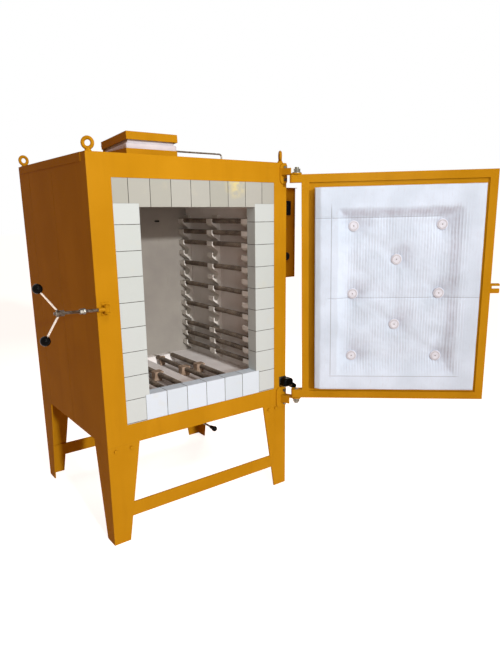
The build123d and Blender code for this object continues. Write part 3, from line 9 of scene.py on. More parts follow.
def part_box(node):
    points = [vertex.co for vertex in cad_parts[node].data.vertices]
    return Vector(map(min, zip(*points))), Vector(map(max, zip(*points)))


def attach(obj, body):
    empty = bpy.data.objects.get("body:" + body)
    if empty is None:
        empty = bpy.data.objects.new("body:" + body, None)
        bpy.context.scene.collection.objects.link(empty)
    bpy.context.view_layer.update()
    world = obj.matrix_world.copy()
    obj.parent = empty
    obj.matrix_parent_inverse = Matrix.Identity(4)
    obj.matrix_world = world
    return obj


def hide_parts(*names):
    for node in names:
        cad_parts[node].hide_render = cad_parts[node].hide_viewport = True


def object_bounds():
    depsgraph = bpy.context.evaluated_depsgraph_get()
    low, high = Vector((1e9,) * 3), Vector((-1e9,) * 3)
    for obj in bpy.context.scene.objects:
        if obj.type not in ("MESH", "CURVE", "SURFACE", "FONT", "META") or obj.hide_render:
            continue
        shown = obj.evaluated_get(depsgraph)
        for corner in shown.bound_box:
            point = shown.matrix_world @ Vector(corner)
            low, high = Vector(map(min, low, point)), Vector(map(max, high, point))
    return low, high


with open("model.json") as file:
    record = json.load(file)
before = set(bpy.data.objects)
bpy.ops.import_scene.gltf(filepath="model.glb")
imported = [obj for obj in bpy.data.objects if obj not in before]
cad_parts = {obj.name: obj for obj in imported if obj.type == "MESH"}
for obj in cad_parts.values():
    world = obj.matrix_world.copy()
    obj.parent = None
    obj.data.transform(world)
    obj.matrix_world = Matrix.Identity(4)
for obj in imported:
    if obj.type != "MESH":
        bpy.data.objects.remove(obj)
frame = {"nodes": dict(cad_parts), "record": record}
cadLow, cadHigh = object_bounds()
mm = 0.001  # metres in a millimetre
joints = {joint["name"]: joint for joint in frame["record"]["behaviour"]["joints"]}
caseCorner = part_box("front_frame")[0]  # front left bottom corner of the case


# Frame helpers
def hingeMatrix(name, degrees):
    joint = joints[name]
    place = Vector(joint["pos_m"])
    turn = Matrix.Rotation(math.radians(degrees), 4, Vector(joint["axis"]))
    return Matrix.Translation(place) @ turn @ Matrix.Translation(-place)


def nodePoints(node, matrix=Matrix.Identity(4)):
    return [matrix @ vertex.co for vertex in frame["nodes"][node].data.vertices]


def spanOf(points):
    low = Vector([min(point[i] for point in points) for i in range(3)])
    high = Vector([max(point[i] for point in points) for i in range(3)])
    return low, high


def clusters(points, reach, axes):
    groups = []
    for point in points:
        for group in groups:
            if all(group["low"][i] - reach < point[i] < group["high"][i] + reach for i in axes):
                group["low"] = Vector(map(min, group["low"], point))
                group["high"] = Vector(map(max, group["high"], point))
                break
        else:
            groups.append({"low": point.copy(), "high": point.copy()})
    return groups


# Material helpers
def srgb(code):
    channels = [int(code[i:i + 2], 16) / 255 for i in (0, 2, 4)]
    return [c / 12.92 if c <= 0.04045 else ((c + 0.055) / 1.055) ** 2.4 for c in channels] + [1.0]


def perMm(size):
    return 1000.0 / size


def addNode(tree, kind, inputs=None, result=0, **settings):
    made = tree.nodes.new("ShaderNode" + kind)
    for name, value in settings.items():
        setattr(made, name, value)
    for name, value in (inputs or {}).items():
        if isinstance(value, bpy.types.NodeSocket):
            tree.links.new(value, made.inputs[name])
        else:
            made.inputs[name].default_value = value
    return made.outputs if result is None else made.outputs[result]


def newMaterial(name, **shaderValues):
    material = bpy.data.materials.new(name)
    material.use_nodes = True
    tree = material.node_tree
    shader = tree.nodes["Principled BSDF"]
    for socket, value in shaderValues.items():
        shader.inputs[socket.replace("_", " ")].default_value = value
    return material, tree, shader, addNode(tree, "TexCoord", result="Object")


def connect(tree, shader, **sockets):
    for name, value in sockets.items():
        tree.links.new(value, shader.inputs[name.replace("_", " ")])


def allOf(tree, *shares):
    together = shares[0]
    for share in shares[1:]:
        together = addNode(tree, "Math", {0: together, 1: share}, operation="MULTIPLY")
    return together


def layOver(tree, under, code, *shares):
    return addNode(tree, "Mix", {0: allOf(tree, *shares), 6: under, 7: srgb(code)}, 2, data_type="RGBA")


# How strongly a mark of this size shows: the least of it below low in the noise, the most of it above high
def spread(tree, place, sizeMm, low, high, least=0.0, most=1.0, detail=3.0, rough=0.5, stretch=None):
    if stretch:
        place = addNode(tree, "Mapping", {"Vector": place, "Scale": stretch})
    grain = addNode(tree, "TexNoise", {"Vector": place, "Scale": perMm(sizeMm), "Detail": detail,
                                       "Roughness": rough})
    return addNode(tree, "MapRange", {"Value": grain, "From Min": low, "From Max": high,
                                      "To Min": least, "To Max": most})


def patches(tree, place, under, code, sizeMm, low, high, most=1.0, **noiseSettings):
    return layOver(tree, under, code, spread(tree, place, sizeMm, low, high, most=most, **noiseSettings))


# Fine relief of a surface, over rounded edges or a coarser relief where there is one
def relief(tree, place, sizeMm, depthMm, strength, detail=3.0, rough=0.5, over=None):
    grain = addNode(tree, "TexNoise", {"Vector": place, "Scale": perMm(sizeMm), "Detail": detail,
                                       "Roughness": rough})
    inputs = {"Height": grain, "Distance": depthMm * mm, "Strength": strength}
    if over is not None:
        inputs["Normal"] = over
    return addNode(tree, "Bump", inputs)


# Materials
# Stove enamel sprayed on sheet steel: an even orange with a low sheen, faint clouds and runs of the
# spray, a slow wave in the sheet and edges rubbed to brown.
def orangeEnamel():
    material, tree, shader, place = newMaterial("orangeEnamel", Specular_IOR_Level=0.0,
                                                Coat_Weight=0.05, Coat_Roughness=0.25)
    colour = patches(tree, place, srgb("B37F10"), "BC8716", 260, 0.35, 0.68, detail=2.0)
    colour = patches(tree, place, colour, "A4710E", 60, 0.5, 0.8, 0.35, detail=4.0, rough=0.6,
                     stretch=(1.0, 1.0, 0.12))
    colour = patches(tree, place, colour, "98630C", 5, 0.62, 0.8, 0.25, detail=4.0, rough=0.6)
    rounded = addNode(tree, "Bevel", {"Radius": 1.6 * mm}, samples=4)
    flat = addNode(tree, "NewGeometry", result="Normal")
    match = addNode(tree, "VectorMath", {0: rounded, 1: flat}, "Value", operation="DOT_PRODUCT")
    edge = addNode(tree, "MapRange", {"Value": match, "From Min": 0.995, "From Max": 0.90})
    chips = spread(tree, place, 9, 0.50, 0.62, most=0.35, detail=4.0, rough=0.7)
    colour = layOver(tree, colour, "6B4312", edge, chips)
    wave = relief(tree, place, 210, 1.2, 0.35, detail=1.0, over=rounded)
    connect(tree, shader, Base_Color=colour,
            Roughness=spread(tree, place, 260, 0.3, 0.7, 0.28, 0.42, detail=2.0),
            Normal=relief(tree, place, 1.6, 0.05, 0.5, detail=2.0, over=wave))
    return material


# Insulating firebrick, cast with burnt-out filler and sawn: chalky and matt, each brick a little
# lighter or darker, with thin dark joints. The pores are drawn at 2.6 mm, coarser than the real ones.
def insulatingBrick(name, axis, start, pitchMm, light, dark):
    material, tree, shader, place = newMaterial(name, Roughness=0.93)
    run = addNode(tree, "SeparateXYZ", {0: place}, axis)
    fromStart = addNode(tree, "Math", {0: run, 1: start}, operation="SUBTRACT")
    along = addNode(tree, "Math", {0: fromStart, 1: pitchMm * mm}, operation="DIVIDE")  # counted in bricks
    brick = addNode(tree, "Math", {0: along}, operation="FLOOR")
    tone = addNode(tree, "TexWhiteNoise", {"W": brick}, noise_dimensions="1D")
    colour = layOver(tree, srgb(dark), light, tone)
    colour = patches(tree, place, colour, "CFC9A6", 95, 0.60, 0.75, 0.14, rough=0.6)
    colour = patches(tree, place, colour, "A9A598", 3.5, 0.60, 0.75, 0.30, detail=4.0, rough=0.7)
    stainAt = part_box("facing_lintel")[0] + Vector((600 * mm, 0, 96 * mm))  # a yellow scorch on the lintel
    away = addNode(tree, "VectorMath", {0: place, 1: stainAt}, "Value", operation="DISTANCE")
    near = addNode(tree, "MapRange", {"Value": away, "From Min": 70 * mm, "From Max": 8 * mm, "To Max": 0.75})
    colour = layOver(tree, colour, "D9CE86", near, spread(tree, place, 22, 0.35, 0.6))
    toJoint = addNode(tree, "Math", {0: along, 1: 0.5}, operation="PINGPONG")
    joint = addNode(tree, "MapRange", {"Value": toJoint, "From Min": 1.7 / pitchMm,
                                       "From Max": 1.0 / pitchMm})
    colour = layOver(tree, colour, "403E37", joint,
                     spread(tree, place, 30, 0.2, 0.5, 0.6, 0.95, detail=2.0))
    pores = addNode(tree, "TexVoronoi", {"Vector": place, "Scale": perMm(2.6)}, "Distance")
    pits = addNode(tree, "MapRange", {"Value": pores, "From Max": 0.35})
    rounded = addNode(tree, "Bevel", {"Radius": 1.4 * mm}, samples=4)
    pitted = addNode(tree, "Bump", {"Height": pits, "Distance": 0.5 * mm, "Strength": 0.5, "Normal": rounded})
    connect(tree, shader, Base_Color=colour,
            Normal=relief(tree, place, 14, 0.6, 0.5, detail=5.0, rough=0.7, over=pitted))
    return material


# Vacuum-formed ceramic fibre board: matt off-white with soft specks and upright scuffs. Its fibres are
# far too fine to show, so they are drawn as specks of 4 mm and relief of 6 mm.
def fibreBoard(name, light, dark, speckle):
    material, tree, shader, place = newMaterial(name, Roughness=0.95)
    colour = patches(tree, place, srgb(dark), light, 160, 0.35, 0.7)
    colour = patches(tree, place, colour, speckle, 4, 0.58, 0.75, 0.4, detail=5.0, rough=0.75)
    colour = patches(tree, place, colour, speckle, 50, 0.62, 0.75, 0.3, detail=4.0, rough=0.7,
                     stretch=(1.0, 1.0, 0.2))
    connect(tree, shader, Base_Color=colour, Normal=relief(tree, place, 6, 0.8, 0.5, detail=5.0, rough=0.7))
    return material


# Fired ceramic, pressed and unglazed: a dry, faintly grained face with scorched patches. The grain is
# drawn at 2.4 mm, coarser than real.
def firedCeramic(name, light, dark, scorch):
    material, tree, shader, place = newMaterial(name, Roughness=0.72)
    colour = patches(tree, place, srgb(dark), light, 45, 0.35, 0.7)
    colour = patches(tree, place, colour, scorch, 16, 0.58, 0.72, 0.45, detail=5.0, rough=0.7)
    rounded = addNode(tree, "Bevel", {"Radius": 1.5 * mm}, samples=4)
    connect(tree, shader, Base_Color=colour,
            Normal=relief(tree, place, 2.4, 0.3, 0.6, detail=4.0, over=rounded))
    return material


# Resistance alloy wire, drawn and wound, oxidised in use: a dull brown-grey skin that only half shines,
# with pale specks of painted highlight drawn at 7 mm. The scale is drawn coarser than real.
def oxidisedWire():
    material, tree, shader, place = newMaterial("oxidisedWire", Roughness=0.62, Metallic=0.35)
    colour = patches(tree, place, srgb("5C5146"), "857767", 60, 0.35, 0.7)
    # Pale specks of painted highlight
    colour = patches(tree, place, colour, "A39483", 7, 0.56, 0.7, 0.6, detail=4.0, rough=0.7)
    connect(tree, shader, Base_Color=colour, Normal=relief(tree, place, 1.2, 0.1, 0.6))
    return material


# Fireclay with grog, pressed by hand and fired: a warm brown, matt and gritty. The grit is drawn at
# 2 mm, coarser than real.
def firedClay():
    material, tree, shader, place = newMaterial("firedClay", Roughness=0.85)
    colour = patches(tree, place, srgb("8F755F"), "AE9A86", 20, 0.35, 0.7, detail=4.0)
    rounded = addNode(tree, "Bevel", {"Radius": 1.5 * mm}, samples=4)
    connect(tree, shader, Base_Color=colour,
            Normal=relief(tree, place, 2.0, 0.4, 0.7, detail=5.0, rough=0.7, over=rounded))
    return material


# Needled ceramic fibre blanket: white, soft and matt with a trace of sheen, and small dents where it was
# needled. Its fibres are far too fine to show, so they are drawn as fluff of 7 mm and relief of 2.2 mm.
def fibreBlanket(name, light, dark, needleMm):
    material, tree, shader, place = newMaterial(name, Roughness=0.97, Sheen_Weight=0.15,
                                                Sheen_Roughness=0.6)
    colour = patches(tree, place, srgb(dark), light, 120, 0.35, 0.7)
    colour = patches(tree, place, colour, "B4B7BF", 7, 0.55, 0.75, 0.35, detail=6.0, rough=0.75,
                     stretch=(1.0, 1.0, 0.35))
    needled = addNode(tree, "TexVoronoi", {"Vector": place, "Scale": perMm(needleMm)}, "Distance")
    dents = addNode(tree, "Bump", {"Height": needled, "Distance": 0.7 * mm, "Strength": 0.4})
    connect(tree, shader, Base_Color=colour,
            Normal=relief(tree, place, 2.2, 0.9, 0.6, detail=6.0, rough=0.8, over=dents))
    return material


# Zinc-plated steel, turned or rolled, aged by heat: a satin grey metal with rust in specks. The grain is
# drawn at 1.5 mm, coarser than real. With a thread it also has the turns, and pale bare arms beside them.
def platedSteel(name, tint, threadMm=0.0):
    material, tree, shader, place = newMaterial(name, Metallic=1.0)
    colour = patches(tree, place, srgb(tint), "B9B6AE", 14, 0.35, 0.7, 0.5, detail=4.0)
    colour = patches(tree, place, colour, "6E5A40", 6, 0.60, 0.72, 0.5, detail=5.0, rough=0.75)
    rounded = addNode(tree, "Bevel", {"Radius": 0.7 * mm}, samples=4)
    if threadMm:
        line = Vector(joints["clamp_travel"]["axis"])
        start = Vector(joints["clamp_travel"]["pos_m"])
        fromStart = addNode(tree, "VectorMath", {0: place, 1: start}, operation="SUBTRACT")
        run = addNode(tree, "VectorMath", {0: fromStart, 1: line}, "Value", operation="DOT_PRODUCT")
        across = addNode(tree, "VectorMath", {0: fromStart, 1: line}, operation="CROSS_PRODUCT")
        away = addNode(tree, "VectorMath", {0: across}, "Value", operation="LENGTH")
        arms = addNode(tree, "MapRange", {"Value": away, "From Min": 14 * mm, "From Max": 17 * mm})
        colour = layOver(tree, colour, "F2E4D4", arms)
        turns = addNode(tree, "Math", {0: run, 1: 2 * math.pi * perMm(threadMm)}, operation="MULTIPLY")
        thread = addNode(tree, "Math", {0: turns}, operation="SINE")
        normal = addNode(tree, "Bump", {"Height": thread, "Distance": 0.5 * mm, "Strength": 0.9,
                                        "Normal": rounded})
    else:
        normal = relief(tree, place, 1.5, 0.06, 0.6, over=rounded)
    connect(tree, shader, Base_Color=colour, Normal=normal,
            Roughness=spread(tree, place, 6, 0.4, 0.7, 0.28, 0.6, detail=5.0, rough=0.75))
    return material


# Phenolic plastic, moulded and polished: deep black with a clear gloss, dulled in clouds by dust. The
# dust is drawn as clouds of 9 mm, coarser than real.
def glossyBlack(name="glossyBlack", code="070707", gloss=0.16):
    material, tree, shader, place = newMaterial(name, Specular_IOR_Level=0.05)
    colour = patches(tree, place, srgb(code), "6B6860", 9, 0.60, 0.8, 0.05, detail=5.0, rough=0.75)
    rounded = addNode(tree, "Bevel", {"Radius": 1.0 * mm}, samples=4)
    connect(tree, shader, Base_Color=colour,
            Roughness=spread(tree, place, 9, 0.45, 0.75, gloss, gloss + 0.22, detail=5.0, rough=0.75),
            Normal=relief(tree, place, 2.5, 0.03, 0.4, detail=2.0, over=rounded))
    return material


# Nylon, injection moulded in a spark-eroded mould: a dark grey with a fine, even grain and no shine. The
# grain is drawn at 0.9 mm, coarser than real.
def mouldedGrey():
    material, tree, shader, place = newMaterial("mouldedGrey", Roughness=0.55)
    colour = patches(tree, place, srgb("4A4A4B"), "565657", 0.9, 0.4, 0.7, detail=2.0)
    rounded = addNode(tree, "Bevel", {"Radius": 0.8 * mm}, samples=4)
    connect(tree, shader, Base_Color=colour,
            Normal=relief(tree, place, 0.9, 0.05, 0.5, detail=2.0, over=rounded))
    return material


enamel = orangeEnamel()
columnBrick = insulatingBrick("columnBrick", 2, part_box("facing_columns")[1].z - 83 * mm, 106.2,
                              "C3CECE", "BBC6C4")
lintelBrick = insulatingBrick("lintelBrick", 0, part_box("facing_lintel")[0].x + 69 * mm, 97.4,
                              "AAAEA7", "A2A69D")
# The sill's bricks are drawn lighter than the columns' as painted light on the sill's top, which the low
# lamps leave dim
sillBrick = insulatingBrick("sillBrick", 0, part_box("facing_sill")[0].x, 105.57, "D1E0EC", "C9D8E2")
# The side boards and the hearth are drawn near white as painted light, which the chamber's walls and floor
# get little of
board = fibreBoard("sideBoard", "F0EDE9", "E3E0DB", "C4BCB2")
backBoard = fibreBoard("backBoard", "A29D94", "96918A", "857B70")
hearthBoard = fibreBoard("hearthBoard", "F6F3F1", "EBE7E4", "C9C2BA")
ceramic = firedCeramic("firedCeramic", "E3E0D9", "CFCBC2", "A39A8D")
darkCeramic = firedCeramic("darkCeramic", "2E2A27", "201D1B", "4A423A")
wire = oxidisedWire()
clay = firedClay()
ventBlanket = fibreBlanket("ventBlanket", "DCDADF", "C9C6CE", 5.0)
steel = platedSteel("platedSteel", "7C7971")
oliveSteel = platedSteel("oliveSteel", "5E5B4B")
threaded = platedSteel("threadedSteel", "54402C", 1.75)
rodSteel = platedSteel("rodSteel", "5E4C3A")
black = glossyBlack()
satinBlack = glossyBlack("satinBlack", "161617", 0.38)
grey = mouldedGrey()

finishes = {
    enamel: ["front_frame", "left_panel", "right_panel", "back_panel", "top_cover", "bottom_tray",
             "leg_front_left", "leg_front_right", "leg_rear_left", "leg_rear_right", "leg_stretchers",
             "vent_collar", "vent_lid", "clamp_trunnion", "inlet_duct", "terminal_cover", "control_box",
             "control_panel", "hinge_arms", "door_frame", "door_skin", "door_fork", "clamp_bracket",
             "lifting_eyes", "leg_bolts"],
    columnBrick: ["facing_columns"],
    lintelBrick: ["facing_lintel"],
    sillBrick: ["facing_sill"],
    board: ["lining_boards"],
    backBoard: ["lining_back"],
    hearthBoard: ["hearth"],
    ceramic: ["holders_left", "holders_right"],
    darkCeramic: ["thermocouple"],
    clay: ["element_saddles"],
    ventBlanket: ["backup_insulation"],
    steel: ["damper", "clamp_collar"],
    oliveSteel: ["switch_bracket", "hinge_bolts"],
    rodSteel: ["lid_rod"],
    threaded: ["clamp_spindle"],
    black: ["damper_knob", "clamp_balls", "door_switch", "switch_sensor"],
    satinBlack: ["setting_knob", "controller", "controller_key_1", "controller_key_2",
                 "controller_key_3", "controller_key_4"],
    grey: ["power_rocker", "cable_gland"],
}
for material, nodes in finishes.items():
    for node in nodes:
        mesh = frame["nodes"][node].data
        mesh.materials.clear()
        mesh.materials.append(material)
print("materials on", sum(len(nodes) for nodes in finishes.values()), "nodes")


# Mesh helpers
def meshObject(name, points, faces, material, body):
    mesh = bpy.data.meshes.new(name)
    mesh.from_pydata([tuple(point) for point in points], [], faces)
    mesh.materials.append(material)
    made = bpy.data.objects.new(name, mesh)
    bpy.context.scene.collection.objects.link(made)
    for polygon in mesh.polygons:
        polygon.use_smooth = True
    mesh.update()
    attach(made, body)
    return made


def bridgeRings(faces, rings):
    for first, second in zip(rings, rings[1:]):
        for k in range(len(first)):
            after = (k + 1) % len(first)
            faces.append((first[k], first[after], second[after], second[k]))


# Door pad: a tufted fibre blanket, drawn with the door closed and turned with it. Depths count inwards
# from the face of the CAD pad, and lengths are in mm.
pad = {
    "cell": 4.6,  # between points of the face
    "round": 5.0,  # radius of the outer edge
    "roundShare": 0.8,
    "pressed": 0.8,  # least depth, where the closed door presses it flat
    "border": 16.0,  # depth from the raised border down to the field
    "freeSlope": (92, 150),  # from each side of the pad: start and end of the slope to the field
    "hingeSlope": (104, 158),
    "bottomSlope": (70, 144),
    "topSlope": (98, 140),
    "slopeEase": 0.12,  # share of a slope over which its ends are eased
    "buttonSeat": 7.5,
    "buttonReach": 8.0,  # points this close belong to one button
    "tuftNear": 36.0,
    "tuftFar": 95.0,
    "tuftOnBorder": 0.35,
    "hingeDrop": 13.0,
    "hingeDropReach": 34.0,
    "foldDepth": 5.0,
    "foldReach": 26.0,
    "foldSag": 0.35,  # share of the fold's depth that is left halfway between two buttons
    "foldLongest": 430.0,
    "rib": 13.6,  # stitched ribs, their depth and shade
    "ribDepth": 0.6,
    "ribShade": 0.26,
    "ribWander": (190, 3.0),  # size of the waver, and how far it shifts a rib
    "roll": 5.5,  # rise of the soft roll beside the hinge side of the recess
    "rollFrom": 78.0,
    "rollStart": 8.0,
    "rollAt": 24.0,
    "rollWide": 13.0,
    "rollFoot": (60, 95),
    "rollHead": (75, 120),
    "lump": 5.0,
    "lumpSize": 70.0,
    "smallLump": 0.9,
    "smallLumpRatio": 4.3,
    "lumpOnBorder": 0.4,
    "seam": 2.6,
    "seamReach": 4.0,
    "back": 2.0,  # the sides: how far they run back, in how many steps, how they tuck in and swell
    "sideSteps": 7,
    "tuck": 3.0,
    "tuckBy": 0.35,
    "sideLump": 0.8,
    "sideLumpSize": 24.0,
    "sidesFrom": (300, 420),  # from the middle, past which a point is on an upright or a level side
    "light": "D3E4F5",
    "dark": "C5D6E6",
    # Boxes of painted shade, where ribField also bounds the ribs' relief: start, end and softness along x,
    # then along z. Below zero counts from the far edge.
    "ribField": ((70, -150, 15), (90, -100, 20)),
    "topCrease": ((100, -120, 20), (-138, -104, 12)),
    "sideCrease": ((104, 146, 10), (100, -95, 20)),
    "tuftShadeShift": (-34, 0, 26),  # from a button to the middle of the painted shade beside it
    "tuftShadeReach": (92, 12),
}
doorOpen = hingeMatrix("door_hinge", -joints["door_hinge"]["range_deg"][0])
doorClosed = doorOpen.inverted()
closedDoor = {"Location": doorClosed.translation, "Rotation": doorClosed.to_euler()}
padLow, padHigh = spanOf(nodePoints("door_pad", doorClosed))
buttonGroups = clusters(nodePoints("pad_buttons", doorClosed), pad["buttonReach"] * mm, (0, 2))
buttons = [((g["low"] + g["high"]) / 2, g["high"].y) for g in buttonGroups]
seams = [  # height, start and end of each seam
    (padHigh.z - 142 * mm, padLow.x + 190 * mm, padHigh.x),
    (padLow.z + 461 * mm, padLow.x, padHigh.x - 62 * mm),
]
# Dark lines of painted shade in the seams and along two creases at the recess's edge
padLines = [(first, last, row, 1.7, False, 0.45) for row, first, last in seams]
padLines += [  # start, end and place of each dark line, its width in mm, whether upright, how dark
    (padLow.z + 70 * mm, padHigh.z - 86 * mm, padHigh.x - 78 * mm, 2.2, True, 0.5),
    (padLow.x + 80 * mm, padHigh.x - 78 * mm, padLow.z + 70 * mm, 1.8, False, 0.5),
]


def insideSpan(tree, value, low, high, soft):
    rise = addNode(tree, "MapRange", {"Value": value, "From Min": low - soft, "From Max": low + soft})
    fall = addNode(tree, "MapRange", {"Value": value, "From Min": high + soft, "From Max": high - soft})
    return allOf(tree, rise, fall)


def insideBox(tree, places, box):
    spans = []
    for value, axis, (start, end, soft) in zip(places, (0, 2), box):
        low, high = ((padLow if edge > 0 else padHigh)[axis] + edge * mm for edge in (start, end))
        spans.append(insideSpan(tree, value, low, high, soft * mm))
    return allOf(tree, *spans)


# Needled ceramic fibre blanket, tufted and stitched: soft, matt and bluish white, with shallow ribs. Shade is
# painted grey on the ribs, on the top and side slopes, beside each button and as dark lines in the seams and
# creases. Its fibres are drawn as fluff of 8 mm, coarser than real.
def padBlanket():
    material, tree, shader, place = newMaterial("padBlanket", Roughness=0.97, Sheen_Weight=0.12,
                                                Sheen_Roughness=0.6)
    flat = addNode(tree, "Mapping", {"Vector": place, **closedDoor})
    split = addNode(tree, "SeparateXYZ", {0: flat}, None)
    x, z = split[0], split[2]
    colour = patches(tree, place, srgb(pad["dark"]), pad["light"], 150, 0.35, 0.7)
    colour = patches(tree, flat, colour, "B9B8C2", 8, 0.55, 0.75, 0.30, detail=6.0, rough=0.75,
                     stretch=(1.0, 1.0, 0.3))
    waverSize, waver = pad["ribWander"]
    shift = addNode(tree, "TexNoise", {"Vector": flat, "Scale": perMm(waverSize), "Detail": 2.0})
    turns = addNode(tree, "Math", {0: x, 1: 2 * math.pi * perMm(pad["rib"]), 2: allOf(tree, shift, waver)},
                    operation="MULTIPLY_ADD")
    ribs = addNode(tree, "Math", {0: turns}, operation="SINE")
    inField = allOf(tree, insideBox(tree, (x, z), pad["ribField"]),
                    spread(tree, flat, 70, 0.35, 0.62, 0.15, 1.0, detail=2.0))
    field = addNode(tree, "Math", {0: inField, 1: 0.95, 2: 0.05}, operation="MULTIPLY_ADD")
    # Painted shade on the ribs, in stripes along them
    ribPaintedShade = addNode(tree, "MapRange", {"Value": ribs, "From Min": 0.1, "To Max": pad["ribShade"]})
    colour = layOver(tree, colour, "8F8C98", ribPaintedShade, field)
    # Painted shade on the top and side slopes of the recess, and beside each button on the side where the
    # tufts' shade falls
    overRibs = addNode(tree, "MapRange", {"Value": ribs, "From Min": -0.6, "From Max": 0.8, "To Min": 0.35})
    sideCrease = allOf(tree, insideBox(tree, (x, z), pad["sideCrease"]), overRibs)
    creases = addNode(tree, "Math", {0: insideBox(tree, (x, z), pad["topCrease"]), 1: sideCrease},
                      operation="MAXIMUM")
    tuftAndCreaseShade = allOf(tree, creases, 0.75)
    farthest, nearest = pad["tuftShadeReach"]
    for centre, top in buttons:
        spot = centre + Vector(pad["tuftShadeShift"]) * mm
        away = addNode(tree, "VectorMath", {0: flat, 1: spot}, "Value", operation="DISTANCE")
        near = addNode(tree, "MapRange", {"Value": away, "From Min": farthest * mm, "From Max": nearest * mm})
        tuftAndCreaseShade = addNode(tree, "Math", {0: near, 1: tuftAndCreaseShade}, operation="MAXIMUM")
    uneven = spread(tree, flat, 38, 0.3, 0.7, 0.15, 0.75, detail=4.0, rough=0.6)
    colour = layOver(tree, colour, "9A98A8", tuftAndCreaseShade, uneven)
    # Painted shade as dark lines in the seams and creases
    seamAndCreaseShade = 0.0
    for low, high, middle, wide, upright, dark in padLines:
        across, onward = (x, z) if upright else (z, x)
        offset = addNode(tree, "Math", {0: across, 1: middle}, operation="SUBTRACT")
        gap = addNode(tree, "Math", {0: offset}, operation="ABSOLUTE")
        line = addNode(tree, "MapRange", {"Value": gap, "From Min": wide * mm, "From Max": wide / 2 * mm,
                                          "To Max": dark})
        line = allOf(tree, line, insideSpan(tree, onward, low, high, 14 * mm))
        seamAndCreaseShade = addNode(tree, "Math", {0: line, 1: seamAndCreaseShade}, operation="MAXIMUM")
    colour = layOver(tree, colour, "55535E", seamAndCreaseShade)
    groove = addNode(tree, "Bump", {"Height": allOf(tree, ribs, field), "Strength": 1.0,
                                    "Distance": pad["ribDepth"] * mm})
    connect(tree, shader, Base_Color=colour,
            Normal=relief(tree, place, 3.0, 0.8, 0.6, detail=6.0, rough=0.8, over=groove))
    return material


# Fired ceramic buttons: pale and dry, with a grey ring near the rim and a dark dot of painted shade where a
# wire hole would be
def buttonCeramic():
    material, tree, shader, place = newMaterial("buttonCeramic", Roughness=0.8)
    flat = addNode(tree, "Mapping", {"Vector": place, **closedDoor})
    near = 1.0
    for centre, top in buttons:
        spot = Vector((centre.x, top - 1.5 * mm, centre.z))
        away = addNode(tree, "VectorMath", {0: flat, 1: spot}, "Value", operation="DISTANCE")
        near = addNode(tree, "Math", {0: away, 1: near}, operation="MINIMUM")
    colour = patches(tree, place, srgb("CBD0DA"), "DCE1EA", 16, 0.35, 0.7, detail=4.0)
    inner = addNode(tree, "MapRange", {"Value": near, "From Min": 15 * mm, "From Max": 18 * mm})
    outer = addNode(tree, "MapRange", {"Value": near, "From Min": 24 * mm, "From Max": 20 * mm})
    colour = layOver(tree, colour, "8E8B90", inner, outer, 0.45)
    # Painted shade of a wire hole: a dark dot at each button's middle
    hole = addNode(tree, "MapRange", {"Value": near, "From Min": 4.5 * mm, "From Max": 3.0 * mm,
                                      "To Max": 0.7})
    colour = layOver(tree, colour, "5F5D62", hole)
    rounded = addNode(tree, "Bevel", {"Radius": 1.5 * mm}, samples=4)
    connect(tree, shader, Base_Color=colour,
            Normal=relief(tree, place, 2.4, 0.3, 0.6, detail=4.0, over=rounded))
    return material


def slopeBetween(value, start, end):
    ratio = min(max((value - start) / (end - start), 0.0), 1.0)
    return ratio * ratio * (3 - 2 * ratio)


# A straight slope with eased ends
def steadyBetween(value, start, end):
    ease = pad["slopeEase"]
    ratio = min(max((value - start) / (end - start), -ease), 1 + ease)
    if ratio <= ease:
        return (ratio + ease) ** 2 / (4 * ease)
    if ratio >= 1 - ease:
        return 1 - (1 + ease - ratio) ** 2 / (4 * ease)
    return ratio


# None of the way down to the field on the border, all of it in the field
def fieldShare(x, z):
    return min(steadyBetween((x - padLow.x) / mm, *pad["freeSlope"]),
               steadyBetween((padHigh.x - x) / mm, *pad["hingeSlope"]),
               steadyBetween((z - padLow.z) / mm, *pad["bottomSlope"]),
               steadyBetween((padHigh.z - z) / mm, *pad["topSlope"]))


def hingeRoll(x, z):
    inward = (padHigh.x - x) / mm - pad["rollFrom"]
    if inward < 0:
        return 0.0
    tall = slopeBetween((z - padLow.z) / mm, *pad["rollFoot"])
    tall *= slopeBetween((padHigh.z - z) / mm, *pad["rollHead"])
    bell = math.exp(-((inward - pad["rollAt"]) / pad["rollWide"]) ** 2)
    return pad["roll"] * bell * tall * slopeBetween(inward, 0, pad["rollStart"])


def foldAt(x, z, first, second):
    run = second - first
    ratio = min(max(((x - first.x) * run.x + (z - first.z) * run.z) / (run.x ** 2 + run.z ** 2), 0), 1)
    gap = math.hypot(x - first.x - ratio * run.x, z - first.z - ratio * run.z)
    sag = pad["foldSag"] + (1 - pad["foldSag"]) * abs(2 * ratio - 1)
    return sag * math.exp(-(gap / (pad["foldReach"] * mm)) ** 2)


def foldPairs():
    centres = [centre for centre, top in buttons]
    pairs = []
    for i, first in enumerate(centres):
        for second in centres[i + 1:]:
            if (first - second).length < pad["foldLongest"] * mm:
                pairs.append((first, second))
    return pairs


